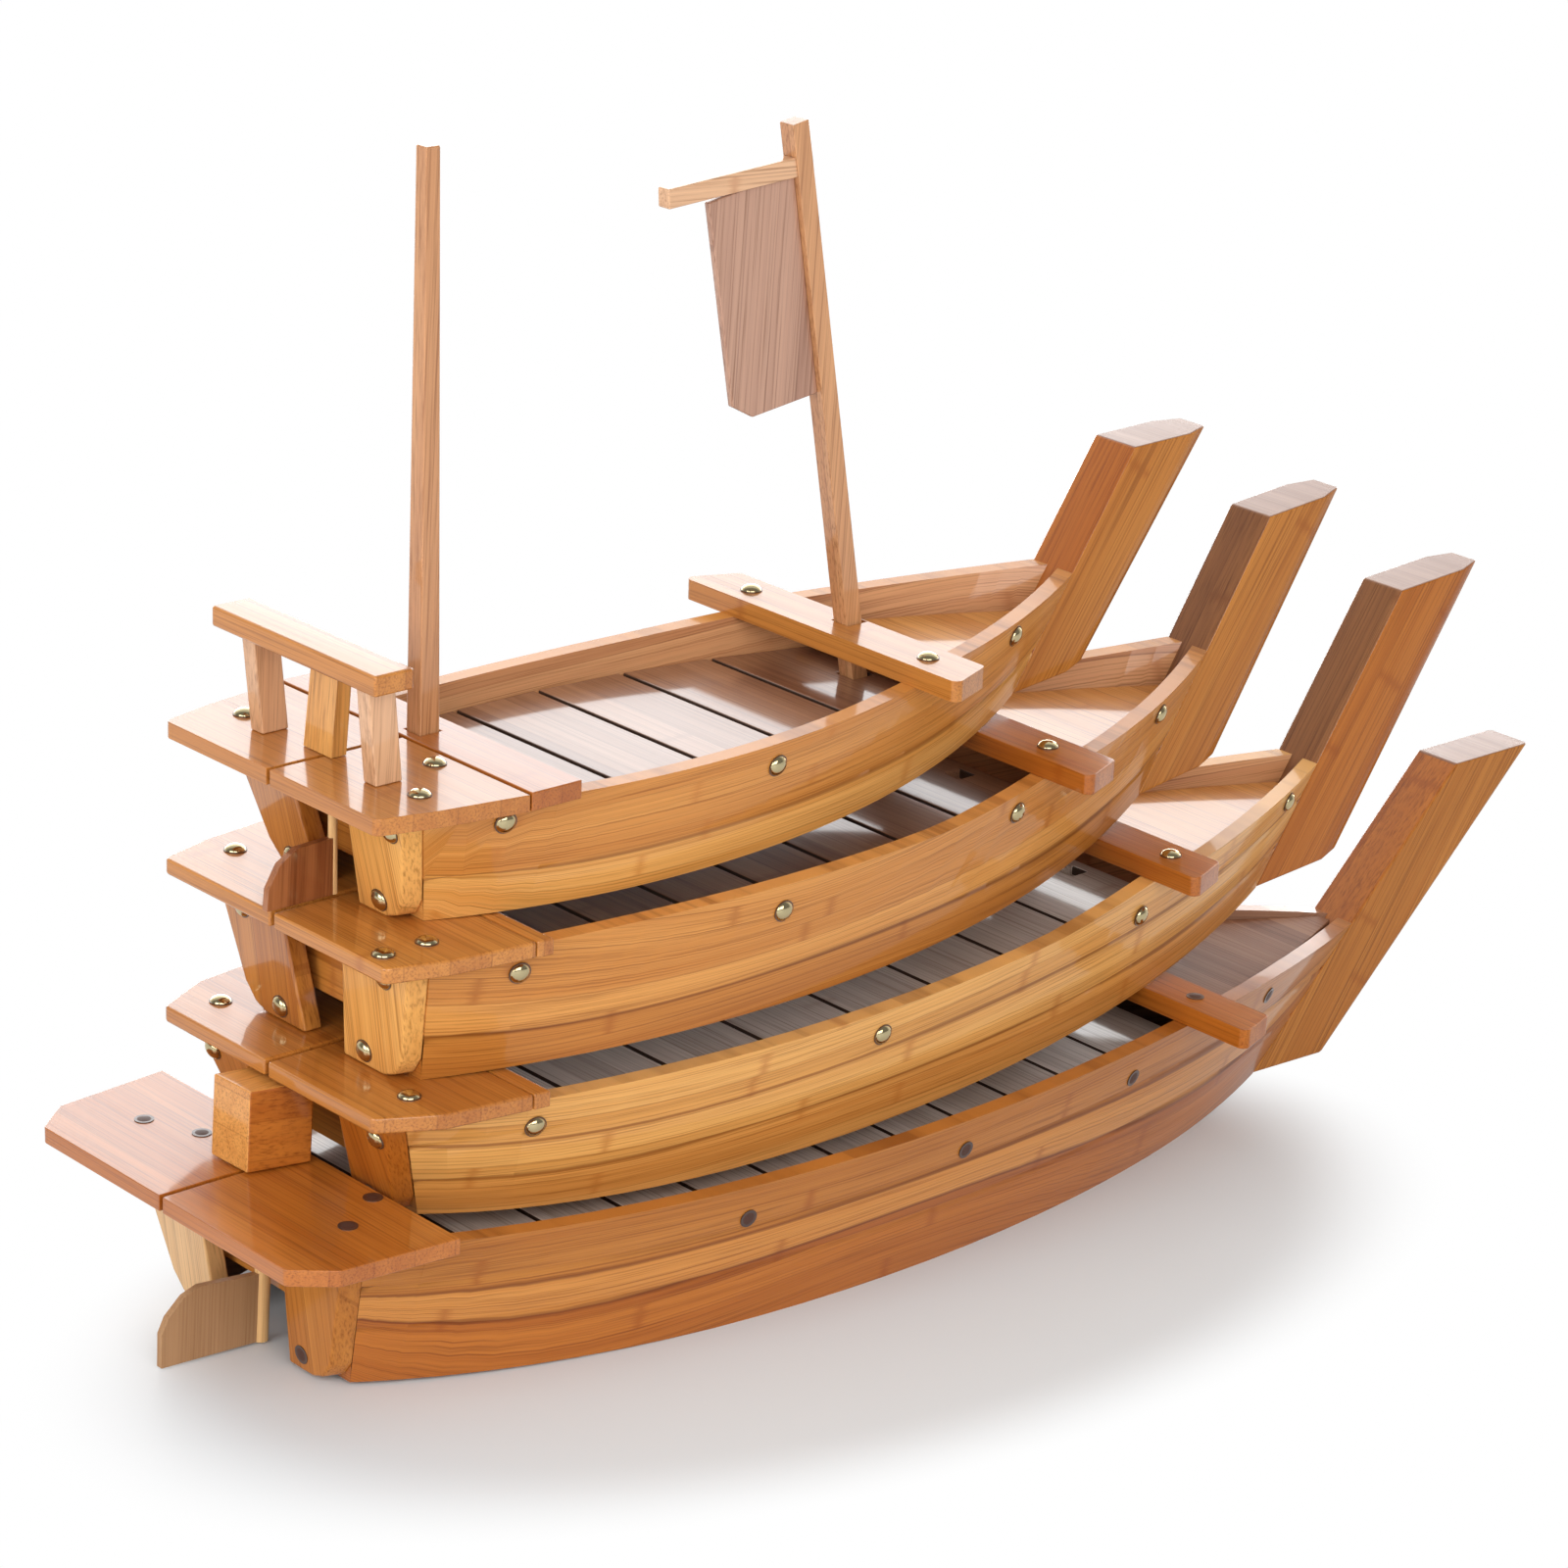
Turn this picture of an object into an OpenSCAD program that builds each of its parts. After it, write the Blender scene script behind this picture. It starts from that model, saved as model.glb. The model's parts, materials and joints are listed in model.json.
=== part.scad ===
// Nested set of four boat-shaped serving trays made of bamboo boards.
// Each boat has its own frame: x runs forward from the aft edge of its stern deck,
// y to port and z up from the top of that deck. The set stands on the base boat.

/* [Boards of all boats] */
// Thickness of the side planks
plank_t = 10; // [8:0.5:12]
// Depth of the long grooves in the planks
groove_d = 1.5; // [0.5:0.1:2.5]
// Half-width of those grooves
groove_half_w = 2; // [1:0.25:3]
// Thickness of the stern decks
deck_t = 8.5; // [7:0.5:10]
// Slot between the two boards of a stern deck
deck_slot = 2.75; // [1:0.25:3.5]
// Corner radius of decks and thwarts
corner_r = 4; // [1:0.5:6]
// Thickness of the transom boards
transom_t = 10.8; // [8:0.2:12]
// Radius of the lower outer corner of the transoms
transom_r = 16; // [6:1:20]
// Width of the thwarts along the boat
thwart_w = 29.6; // [26:0.2:34]
// Thickness of the thwarts
thwart_t = 11; // [9:0.5:12]
// Half-width of the stem posts
stem_half_w = 15.2; // [14:0.2:18]
// Thickness of the cross beam behind the transoms
beam_t = 10; // [8:0.5:12]
// Thickness of the bow decks
bow_deck_t = 6; // [4:0.5:8]

/* [Floors] */
// Depth of the floor below the top of the stern deck
floor_drop = 26; // [22:1:32]
// Thickness of the floor slats
slat_t = 7; // [5:0.5:9]
// Gap between floor slats
slat_gap = 2.6; // [1.5:0.1:4]
// Width of the floor rails
rail_w = 10; // [7:0.5:14]
// Height of the floor rails
rail_h = 9; // [6:0.5:12]

/* [Nails and plugs] */
// Radius of the domed nail heads
nail_r = 5.2; // [3:0.1:6]
// Height of the domed nail heads
nail_h = 2.8; // [1.5:0.1:3.5]
// Radius of the flush plugs
plug_r = 5.6; // [3:0.1:7]
// Height of the plugs above the wood
plug_h = 0.4; // [0.2:0.1:1]

/* [Nesting] */
// Bow-up pitch of the three upper boats
nest_pitch = 2.75; // [1.5:0.25:4]
// Height of the small boat's deck above the medium boat's deck
small_nest_z = 72; // [68:0.5:76]
// Offset forward of the small boat on the medium boat
small_nest_x = -1.8; // [-5:0.1:5]
// Height of the medium boat's deck above the large boat's deck
medium_nest_z = 75.6; // [72:0.1:80]
// Offset forward of the medium boat on the large boat
medium_nest_x = 3.4; // [-5:0.1:6]
// Height of the large boat's deck above the base boat's deck
large_nest_z = 56.9; // [54:0.1:62]
// Offset forward of the large boat on the base boat
large_nest_x = 58.2; // [54:0.1:66]

/* [Small boat] */
// Length from the deck's aft edge to the stem, at the gunwale
small_len = 509.9; // [490:0.1:530]
// Overhang of the bow ahead of the end of the foot
small_overhang = 40.4; // [34:0.1:48]
// Distance from the deck's aft edge to the side planks, at the gunwale
small_stern_x = 37.4; // [32:0.1:42]
// Distance from the deck's aft edge to the side planks, at the foot
small_heel_x = 52.3; // [46:0.1:56]
// Half-breadth of the hull at the stern
small_stern_y = 71; // [66:0.5:76]
// Half-breadth that draws out the belly of the hull
small_belly_y = 106.3; // [98:0.1:112]
// Half-breadth of the deck at its aft edge
small_deck_aft_y = 84; // [78:0.5:90]
// Half-breadth of the deck at its front edge
small_deck_front_y = 99.4; // [94:0.1:104]
// Length of the deck
small_deck_x = 77.4; // [72:0.1:78]
// Distance of the thwart's aft edge from the stem
small_thwart_back = 167.8; // [159:0.1:175]
// Half-length of the thwart
small_thwart_y = 106; // [98:1:112]
// Height of the thwart above the deck
small_thwart_z = 3.6; // [2:0.1:6]
// Height of the stem post's aft edge above the deck
small_post_z = 69; // [63:0.1:75]
// Depth of the stem post at its top
small_post_top = 101.1; // [93:0.1:109]
// Depth of the stem post at its foot
small_post_foot = 56.3; // [51:0.1:61]
// Start of the first floor slat
small_floor_x = 63.6; // [62:0.1:66]
// Spacing of the floor slats
small_slat_pitch = 52.4; // [48:0.1:54]

/* [Medium boat] */
// Length by which it is longer than the boat above it
medium_step = 106.2; // [96:0.1:116]
// Overhang of the bow ahead of the end of the foot
medium_overhang = 47.3; // [41:0.1:55]
// Distance from the deck's aft edge to the side planks, at the gunwale
medium_stern_x = 33; // [29:0.1:38]
// Distance from the deck's aft edge to the side planks, at the foot
medium_heel_x = 41.7; // [38:0.1:48]
// Half-breadth of the hull at the stern
medium_stern_y = 80.6; // [76:0.1:85]
// Half-breadth that draws out the belly of the hull
medium_belly_y = 127; // [118:0.5:132]
// Half-breadth of the deck at its aft edge
medium_deck_aft_y = 88.8; // [84:0.1:94]
// Half-breadth of the deck at its front edge
medium_deck_front_y = 104.3; // [98:0.1:110]
// Length of the deck
medium_deck_x = 77.3; // [72:0.1:82]
// Distance of the thwart's aft edge from the stem
medium_thwart_back = 191.1; // [183:0.1:199]
// Half-length of the thwart
medium_thwart_y = 119; // [112:1:126]
// Height of the stem post's aft edge above the deck
medium_post_z = 83.4; // [77:0.1:89]
// Depth of the stem post at its top
medium_post_top = 104.5; // [96:0.1:112]
// Depth of the stem post at its foot
medium_post_foot = 64.1; // [59:0.1:69]
// Start of the first floor slat
medium_floor_x = 59; // [55:0.5:65]
// Spacing of the floor slats
medium_slat_pitch = 49.2; // [45:0.1:51]

/* [Large boat] */
// Length by which it is longer than the boat above it
large_step = 100.9; // [90:0.1:110]
// Overhang of the bow ahead of the end of the foot
large_overhang = 44.1; // [38:0.1:52]
// Distance from the deck's aft edge to the side planks, at the gunwale
large_stern_x = 23; // [20:0.1:30]
// Distance from the deck's aft edge to the side planks, at the foot
large_heel_x = 44.5; // [40:0.1:50]
// Depth of the hull at the stern, below the top of the deck
large_heel_z = 70; // [66:0.5:73]
// Half-breadth of the hull at the stern
large_stern_y = 80; // [75:0.1:84]
// Half-breadth that draws out the belly of the hull
large_belly_y = 131.8; // [122:0.1:136]
// Half-breadth of the deck at its aft edge
large_deck_aft_y = 85; // [80:0.5:90]
// Half-breadth of the deck at its front edge
large_deck_front_y = 107.9; // [100:0.1:114]
// Length of the deck
large_deck_x = 77.6; // [72:0.1:82]
// Distance of the thwart's aft edge from the stem
large_thwart_back = 198.4; // [190:0.1:206]
// Half-length of the thwart
large_thwart_y = 113.4; // [106:0.1:120]
// Height of the stem post's aft edge above the deck
large_post_z = 94.9; // [88:0.1:100]
// Depth of the stem post at its top
large_post_top = 131.2; // [123:0.1:139]
// Depth of the stem post at its foot
large_post_foot = 71.2; // [66:0.1:76]
// Start of the first floor slat
large_floor_x = 72.8; // [68:0.1:78]
// Spacing of the floor slats
large_slat_pitch = 58.8; // [54:0.1:60]

/* [Base boat] */
// Length by which it is longer than the boat above it
base_step = 103.2; // [93:0.1:113]
// Overhang of the bow ahead of the end of the foot
base_overhang = 72.5; // [66:0.1:80]
// Distance from the deck's aft edge to the side planks, at the gunwale
base_stern_x = 53; // [49:0.5:58]
// Distance from the deck's aft edge to the side planks, at the foot
base_heel_x = 68; // [64:0.5:74]
// Depth of the hull at the stern, below the top of the deck
base_heel_z = 88.5; // [84:0.5:90]
// Half-breadth of the hull at the stern
base_stern_y = 91.3; // [87:0.1:96]
// Half-breadth that draws out the belly of the hull
base_belly_y = 154.8; // [146:0.1:160]
// Half-breadth of the deck at its aft edge
base_deck_aft_y = 100.2; // [95:0.1:105]
// Half-breadth of the deck at its front edge
base_deck_front_y = 122.2; // [118:0.1:128]
// Length of the deck
base_deck_x = 84.5; // [80:0.5:86]
// Rise of the deck toward the bow, as an angle
base_deck_slope = 3; // [1:0.25:4]
// Distance of the thwart's aft edge from the stem
base_thwart_back = 221.3; // [213:0.1:229]
// Half-length of the thwart
base_thwart_y = 138.7; // [130:0.1:144]
// Height of the stem post's aft edge above the deck
base_post_z = 74.5; // [68:0.1:80]
// Depth of the stem post at its top
base_post_top = 142; // [134:0.1:150]
// Depth of the stem post at its foot
base_post_foot = 59.7; // [54:0.1:64]
// Start of the first floor slat
base_floor_x = 85; // [80:1:92]
// Spacing of the floor slats
base_slat_pitch = 44.8; // [42:0.1:46]
// Depth of the flat worn on the planks where they stand
base_flat_d = 1; // [0.4:0.1:1.5]

/* [Roof bench] */
// Height of the underside of the roof plank above the small deck
roof_z = 50.2; // [48:0.1:56]
// Thickness of the roof plank
roof_t = 10.4; // [8:0.2:12]
// Width of the roof plank
roof_w = 22.4; // [20:0.2:26]
// Half-length of the roof plank
roof_half_y = 64.7; // [60:0.1:70]
// Start of the roof plank
roof_x = 13.6; // [11:0.1:16]

/* [Masts and sail] */
// Side of the stern mast at its foot
mast_w = 11.8; // [10:0.2:13]
// Side of the stern mast at its top
mast_top_w = 8.2; // [6:0.2:10]
// Height of the stern mast above the deck
mast_z = 285; // [260:1:300]
// Centre of the stern mast from the deck's aft edge
mast_x = 90.6; // [90:0.1:94]
// Side of the flag mast
flag_mast_w = 10.4; // [9:0.1:11.5]
// Height of the flag mast above the deck
flag_mast_z = 270; // [250:1:290]
// Aft lean of the flag mast
flag_lean = 10.4; // [6:0.2:14]
// Height of the yard's top on the flag mast
yard_z = 252; // [240:1:256]
// Depth of the yard
yard_h = 10; // [8:0.5:12]
// Thickness of the yard
yard_t = 8.4; // [6:0.2:9]
// Length of the yard aft of the mast
yard_len = 82; // [74:1:90]
// Thickness of the sail board
sail_t = 4; // [3:0.5:6]
// Height of the sail board
sail_h = 107; // [95:1:112]
// Width of the sail board
sail_w = 55; // [48:1:60]

/* [Rudders] */
// Radius of the small rudder's stick
small_stick_r = 2.3; // [1.8:0.1:3]
// Centre of the small rudder's stick
small_stick_x = 37.5; // [35:0.5:38.5]
// Thickness of the small rudder board
small_rudder_t = 4; // [3:0.5:4.5]
// Length of the small rudder board
small_rudder_len = 39.5; // [34:0.5:42]
// Height of the small rudder board
small_rudder_h = 28.8; // [24:0.2:29]
// Width of the small rudder's head block across the boat
small_head_w = 22.5; // [20:0.5:26]
// Depth of the small rudder's head block
small_head_d = 8.6; // [7.6:0.2:10]
// Height of the small rudder's head block
small_head_z = 45; // [38:1:47]
// Radius of the base rudder's stick
base_stick_r = 4; // [3:0.25:5]
// Centre of the base rudder's stick
base_stick_x = 61.4; // [60:0.2:62.4]
// Thickness of the base rudder board
base_rudder_t = 4; // [3:0.5:6]
// Length of the base rudder board
base_rudder_len = 59.5; // [52:0.5:62]
// Height of the base rudder board
base_rudder_h = 38; // [32:0.5:38]
// Width of the base rudder's head block across the boat
base_head_w = 36.3; // [30:0.1:40]
// Depth of the base rudder's head block
base_head_d = 33.4; // [28:0.1:36]
// Height of the base rudder's head block
base_head_z = 43; // [38:0.5:46]

/* [Hidden] */

// Colours of the bamboo, brass and darker woods
honey = [0.80, 0.54, 0.27];
amber = [0.74, 0.46, 0.20];
russet = [0.60, 0.33, 0.15];
brass = [0.86, 0.76, 0.50];
walnut = [0.32, 0.16, 0.09];
ply = [0.82, 0.66, 0.42];

// Lengths of the boats and places of their thwarts
medium_len = small_len + medium_step;
large_len = medium_len + large_step;
base_len = large_len + base_step;
small_thwart_x = small_len - small_thwart_back;
medium_thwart_x = medium_len - medium_thwart_back;
large_thwart_x = large_len - large_thwart_back;
base_thwart_x = base_len - base_thwart_back;

// Depth of the mast sockets in the floor
socket_d = slat_t * 0.75;

// Clearances: pieces of one boat, pieces along its curved planks, running fit of the sticks,
// masts in their holes, boats at rest
fit = 0.3;
curve_fit = 0.6;
stick_fit = 0.08;
mast_fit = 0.45;
nest_gap = 0.15;
// Overrun of every cut, and the run of a step in a plank's top edge
cut = 1;
step_x = 0.4;

// Shares of the hull's length at which the two inner control points of its edges lie
gunwale_x_share = [0.316, 0.69];
foot_x_share = [0.225, 0.658];
// Share of the belly control that the forward control point keeps
bow_belly_share = 0.873;

// Values in a boat's list: control values of the gunwale and of the foot, flare, slope of the
// deck, front of the deck seat, thwart, rise of the bow, grooves, lowest point of the foot
function top_x(b) = b[0];
function top_y(b) = b[1];
function top_z(b) = b[2];
function foot_x(b) = b[3];
function foot_z(b) = b[4];
function flare_of(b) = b[5];
function slope_of(b) = b[6];
function seat_of(b) = b[7];
function thwart_of(b) = b[8];
function rise_of(b) = b[9];
function grooves_of(b) = b[10];
function low_of(b) = b[11];

// Cubic curve with four control values, its slope, and the parameter where it reaches a value
function bez(c, t) = c[0] * (1 - t) ^ 3 + 3 * c[1] * (1 - t) ^ 2 * t
    + 3 * c[2] * (1 - t) * t ^ 2 + c[3] * t ^ 3;
function bez_d(c, t) = 3 * ((c[1] - c[0]) * (1 - t) ^ 2 + 2 * (c[2] - c[1]) * (1 - t) * t
    + (c[3] - c[2]) * t ^ 2);
function mix(a, b, s) = a + (b - a) * s;
function t_at(c, x, lo = 0, hi = 1, n = 20) = let (mid = (lo + hi) / 2)
    n == 0 ? mid : bez(c, mid) < x ? t_at(c, x, mid, hi, n - 1) : t_at(c, x, lo, mid, n - 1);
function span(a, b, share) = [a, mix(a, b, share[0]), mix(a, b, share[1]), b];

// A boat's list from its sizes; heights of the edges are shares of the hull's depth
function boat(length, foot_length, stern_x, heel_x, stern_y, belly_y, heel_z, flare_share,
        top_share, foot_share, slope, seat_x, thwart, rise, groove_share) = let (
        depth = heel_z - deck_t,
        seat = -deck_t / cos(slope) + stern_x * tan(slope),
        feet = [-heel_z, for (s = foot_share) -deck_t - s * depth])
    [
        span(stern_x, length, gunwale_x_share),
        [stern_y, belly_y, belly_y * bow_belly_share, stem_half_w],
        [seat, for (s = top_share) -deck_t - s * depth],
        span(heel_x, foot_length, foot_x_share),
        feet,
        flare_share,
        slope,
        seat_x,
        thwart,
        rise,
        groove_share,
        min([for (i = [0 : 40]) bez(feet, i / 40)])
    ];

// Underside of the stern deck
function seat_z(b, x) = -deck_t / cos(slope_of(b)) + x * tan(slope_of(b));
function thwart_seat(b) = thwart_of(b)[1] - thwart_t;

// Outer edges of a plank at a parameter: gunwale as drawn, and foot
function gunwale(b, t) = [bez(top_x(b), t), bez(top_y(b), t), bez(top_z(b), t)];
function foot(b, t) = let (top = gunwale(b, t), z = bez(foot_z(b), t))
    [bez(foot_x(b), t), top.y - flare_of(b) * (1 - t) * (top.z - z), z];
// Thickness of a plank measured across the boat
function plank_y(b, t) = plank_t * sqrt(1 + (bez_d(top_y(b), t) / bez_d(top_x(b), t)) ^ 2);

// Height of the gunwale as cut: deck seat, sheer rising to the thwart, thwart seat, bow
thwart_ramp_share = 0.12;
function cut_z(b, t, zone) = let (
        p = gunwale(b, t),
        aft = thwart_of(b)[0],
        front = aft + thwart_w,
        ramp = top_x(b)[3] * thwart_ramp_share,
        pad = thwart_seat(b) - gunwale(b, t_at(top_x(b), aft)).z)
    zone == 0 ? seat_z(b, p.x)
    : zone == 1 ? p.z + pad * max(0, 1 - (aft - p.x) / ramp)
    : zone == 2 ? thwart_seat(b)
    : p.z + rise_of(b) * (top_x(b)[3] - p.x) / (top_x(b)[3] - front);

// Parameters of the plank's cross-sections, each with the zone of its top edge
function spread(a, b, n, zone) = [for (i = [0 : n]) [mix(a, b, i / n), zone]];
function stations(b) = let (
        e = step_x / top_x(b)[3],
        ts = t_at(top_x(b), seat_of(b)),
        ta = t_at(top_x(b), thwart_of(b)[0] - fit - step_x),
        tf = t_at(top_x(b), thwart_of(b)[0] + thwart_w + fit))
    concat(spread(0, ts, 3, 0), spread(ts + e, ta, 16, 1), spread(ta + e, tf, 2, 2),
        spread(tf + e, 1, 12, 3));

// Cross-section of the port plank: foot, grooves, top edge, inner face
function plank_ring(b, t, zone, floor_z) = let (
        low = foot(b, t),
        top = gunwale(b, t),
        w = groove_half_w / (top.z - low.z),
        dy = [0, plank_y(b, t), 0],
        z_low = is_undef(floor_z) ? low.z : max(low.z, floor_z),
        crown = [top.x, top.y, cut_z(b, t, zone)],
        sole = [low.x, low.y, z_low])
    concat([sole],
        [for (g = grooves_of(b)) each [
            mix(low, top, g - w),
            mix(low, top, g) - [0, groove_d, 0],
            mix(low, top, g + w)]],
        [crown, crown - dy, sole - dy]);

// Inner face of the port plank at a length and height
function side_at(b, t, z) = let (low = foot(b, t), top = gunwale(b, t))
    mix(low, top, (z - low.z) / (top.z - low.z));
function t_side(b, x, z, lo = 0, hi = 1, n = 20) = let (mid = (lo + hi) / 2)
    n == 0 ? mid : side_at(b, mid, z).x < x ? t_side(b, x, z, mid, hi, n - 1)
    : t_side(b, x, z, lo, mid, n - 1);
function inner_y(b, x, z) = let (t = t_side(b, x, z)) side_at(b, t, z).y - plank_y(b, t);

// Aft face of the stem, and the slope of the stern
function stem_x(b, z) = mix(foot_x(b)[3], top_x(b)[3],
    (z - foot_z(b)[3]) / (top_z(b)[3] - foot_z(b)[3]));
function stern_rake(b) = (foot_x(b)[0] - top_x(b)[0]) / (top_z(b)[0] - foot_z(b)[0]);
function stern_x(b, z) = top_x(b)[0] + (top_z(b)[0] - z) * stern_rake(b);

// Height in the lower boat's frame of an upper boat's foot at a length of the lower boat
function nested_foot(up, t, pitch, nest) = let (p = foot(up, t))
    [p.x * cos(pitch) - p.z * sin(pitch) + nest[0], p.x * sin(pitch) + p.z * cos(pitch) + nest[1]];
function nested_z(up, x, pitch, nest, lo = 0, hi = 1, n = 20) = let (mid = (lo + hi) / 2)
    n == 0 ? nested_foot(up, mid, pitch, nest)[1]
    : nested_foot(up, mid, pitch, nest)[0] < x ? nested_z(up, x, pitch, nest, mid, hi, n - 1)
    : nested_z(up, x, pitch, nest, lo, mid, n - 1);

// Battens ahead of the decks: the small boat's is wide and carries the mast
batten_w = 29.6;
batten_gap = 1.2;
batten_proud = 0.8;
strip_w = 9;
strip_gap = 0.4;

// Flare of the sides, heights of the gunwale and of the foot as shares of the hull's depth,
// and heights of the long grooves
small_flare_share = 0.3;
small_top_shares = [0.132, 0.051, -0.238];
small_foot_shares = [0.958, 1.113, 0.71];
small_groove_shares = [0.36];
medium_flare_share = 0.27;
medium_top_shares = [-0.105, 0.126, -0.34];
medium_foot_shares = [0.936, 1.139, 0.775];
medium_groove_shares = [0.33];
large_flare_share = 0.3;
large_top_shares = [0.203, 0.023, -0.195];
large_foot_shares = [1.286, 1.281, 0.868];
large_groove_shares = [0.33, 0.7];
base_flare_share = 0.326;
base_top_shares = [0.1575, -0.245, 0.02125];
base_foot_shares = [1.025, 1.075, 1.005];
base_groove_shares = [0.4, 0.7];

// The four boats. Sides of the upper two are as deep as their nest is high, so that each
// rests on the deck below, and each thwart meets the foot of the boat above it.
small = boat(small_len, small_len - small_overhang, small_stern_x, small_heel_x, small_stern_y,
    small_belly_y, small_nest_z - nest_gap, small_flare_share, small_top_shares,
    small_foot_shares,
    0, small_deck_x + batten_gap + batten_w, [small_thwart_x, small_thwart_z], deck_t * 0.5,
    small_groove_shares);
medium = boat(medium_len, medium_len - medium_overhang, medium_stern_x, medium_heel_x, medium_stern_y,
    medium_belly_y, medium_nest_z - nest_gap, medium_flare_share,
    medium_top_shares, medium_foot_shares, 0, medium_deck_x + strip_gap + strip_w,
    [medium_thwart_x, nested_z(small, medium_thwart_x, 0, [small_nest_x, small_nest_z]) - nest_gap],
    deck_t * 0.35, medium_groove_shares);
large = boat(large_len, large_len - large_overhang, large_stern_x, large_heel_x, large_stern_y,
    large_belly_y, large_heel_z, large_flare_share, large_top_shares, large_foot_shares,
    0, large_deck_x + strip_gap + strip_w,
    [large_thwart_x, nested_z(medium, large_thwart_x, 0, [medium_nest_x, medium_nest_z]) - nest_gap],
    0, large_groove_shares);
base = boat(base_len, base_len - base_overhang, base_stern_x, base_heel_x, base_stern_y,
    base_belly_y, base_heel_z, base_flare_share, base_top_shares, base_foot_shares,
    base_deck_slope, base_deck_x,
    [base_thwart_x, nested_z(large, base_thwart_x, nest_pitch, [large_nest_x, large_nest_z])
        - nest_gap],
    0, base_groove_shares);

// Stem posts: front edge at the top as a share of the aft height, and at the foot as a share
// of the hull's depth there; half-width of the nose, and the chamfer of the front corners
small_post_shares = [1.017, 0.886];
medium_post_shares = [1.065, 0.851];
large_post_shares = [1.047, 0.905];
base_post_shares = [1.04, 0.988];
stem_nose_share = 0.62;
stem_chamfer = 17;
base_nose_share = 0.9;
base_chamfer = 3;

// The set stands on the base boat, centred on its length
base_floor_z = low_of(base) + base_flat_d;
set_mid_x = (top_x(base)[3] + base_post_top) / 2;

// Hull pieces

// Solid through rings of points, each ring turning left as seen from the end it leads to
module loft(rings) {
    n = len(rings[0]);
    m = len(rings);
    polyhedron(
        points = [for (r = rings) each r],
        faces = concat(
            [[for (j = [0 : n - 1]) j]],
            [[for (j = [n - 1 : -1 : 0]) (m - 1) * n + j]],
            [for (i = [0 : m - 2], j = [0 : n - 1]) let (k = (j + 1) % n)
                each [[(i + 1) * n + k, i * n + k, i * n + j],
                    [(i + 1) * n + j, (i + 1) * n + k, i * n + j]]]),
        convexity = 6);
}

module port_plank(b, floor_z) {
    loft([for (s = stations(b)) plank_ring(b, s[0], s[1], floor_z)]);
}

module starboard_plank(b, floor_z) {
    mirror([0, 1, 0]) port_plank(b, floor_z);
}

// Two raked boards with a tapering gap between them; their outer edges follow the planks
module transoms(b, gap_top, gap_foot) {
    run = transom_t * sqrt(1 + stern_rake(b) ^ 2);
    taper = bez_d(top_y(b), 0) / bez_d(top_x(b), 0);
    heel = foot(b, 0);
    top = gunwale(b, 0);
    lean = (top.y - heel.y) / (top.z - heel.z);
    for (side = [0, 1]) mirror([0, side, 0]) loft([for (back = [run, 0]) let (
            in = taper * back,
            z_top = seat_z(b, top_x(b)[0] - back),
            place = function (y, z) [stern_x(b, z) - back, y, z])
        [
            place(gap_foot, heel.z),
            place(heel.y - in - transom_r * 0.75, heel.z),
            place(heel.y - in - transom_r * 0.28 + lean * transom_r * 0.2, heel.z + transom_r * 0.2),
            place(heel.y - in + lean * transom_r * 0.8, heel.z + transom_r * 0.8),
            place(top.y - in, z_top),
            place(gap_top, z_top)
        ]]);
}

// Board across the boat behind the gap of the transoms, from the floor down
module beam(b, h) {
    x = foot_x(b)[0] + cut;
    z = -floor_drop - slat_t;
    y = function (z) inner_y(b, x, z) - fit;
    loft([for (p = [x, x + beam_t]) [[p, -y(z - h), z - h], [p, y(z - h), z - h], [p, y(z), z],
        [p, -y(z), z]]]);
}

// Floor slats between the planks; the last one is cut to end beyond its blind mast socket
function slats_end(mast, socket) = mast + socket / 2 + slat_t;
module slats(b, first_x, pitch, mast, socket) {
    z = -floor_drop - slat_t;
    last_x = slats_end(mast, socket);
    count = round((last_x - first_x) / pitch);
    difference() {
        for (i = [0 : count - 1]) let (
                a = first_x + i * pitch,
                c = i < count - 1 ? a + pitch - slat_gap : last_x,
                ya = inner_y(b, a, z) - fit,
                yc = inner_y(b, c, z) - fit)
            translate([0, 0, z]) linear_extrude(slat_t)
                polygon([[a, -ya], [c, -yc], [c, yc], [a, ya]]);
        translate([mast, 0, -floor_drop - socket_d + cut]) square_bar(socket, slat_t);
    }
}

// Bearers of the slats, along the inner faces of the planks
module rails(b, first_x, last_x) {
    z = -floor_drop - slat_t;
    steps = 16;
    for (side = [0, 1]) mirror([0, side, 0]) loft([for (i = [0 : steps]) let (
            x = mix(first_x, last_x, i / steps),
            low = inner_y(b, x, z - rail_h) - curve_fit,
            high = inner_y(b, x, z) - curve_fit)
        [[x, low - rail_w, z - rail_h], [x, low, z - rail_h], [x, high, z], [x, low - rail_w, z]]]);
}

// Board that closes the bow ahead of the thwart, drop below the thwart's seat
module bow_deck(b, drop) {
    z = thwart_seat(b) - drop - bow_deck_t;
    aft = thwart_of(b)[0] + thwart_w * 1.16;
    front = stem_x(b, z) - fit;
    steps = 12;
    xs = [for (i = [0 : steps]) mix(aft, front, i / steps)];
    translate([0, 0, z]) linear_extrude(bow_deck_t) polygon(concat(
        [for (x = xs) [x, curve_fit - inner_y(b, x, z)]],
        [for (i = [steps : -1 : 0]) [xs[i], inner_y(b, xs[i], z) - curve_fit]]));
}

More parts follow.
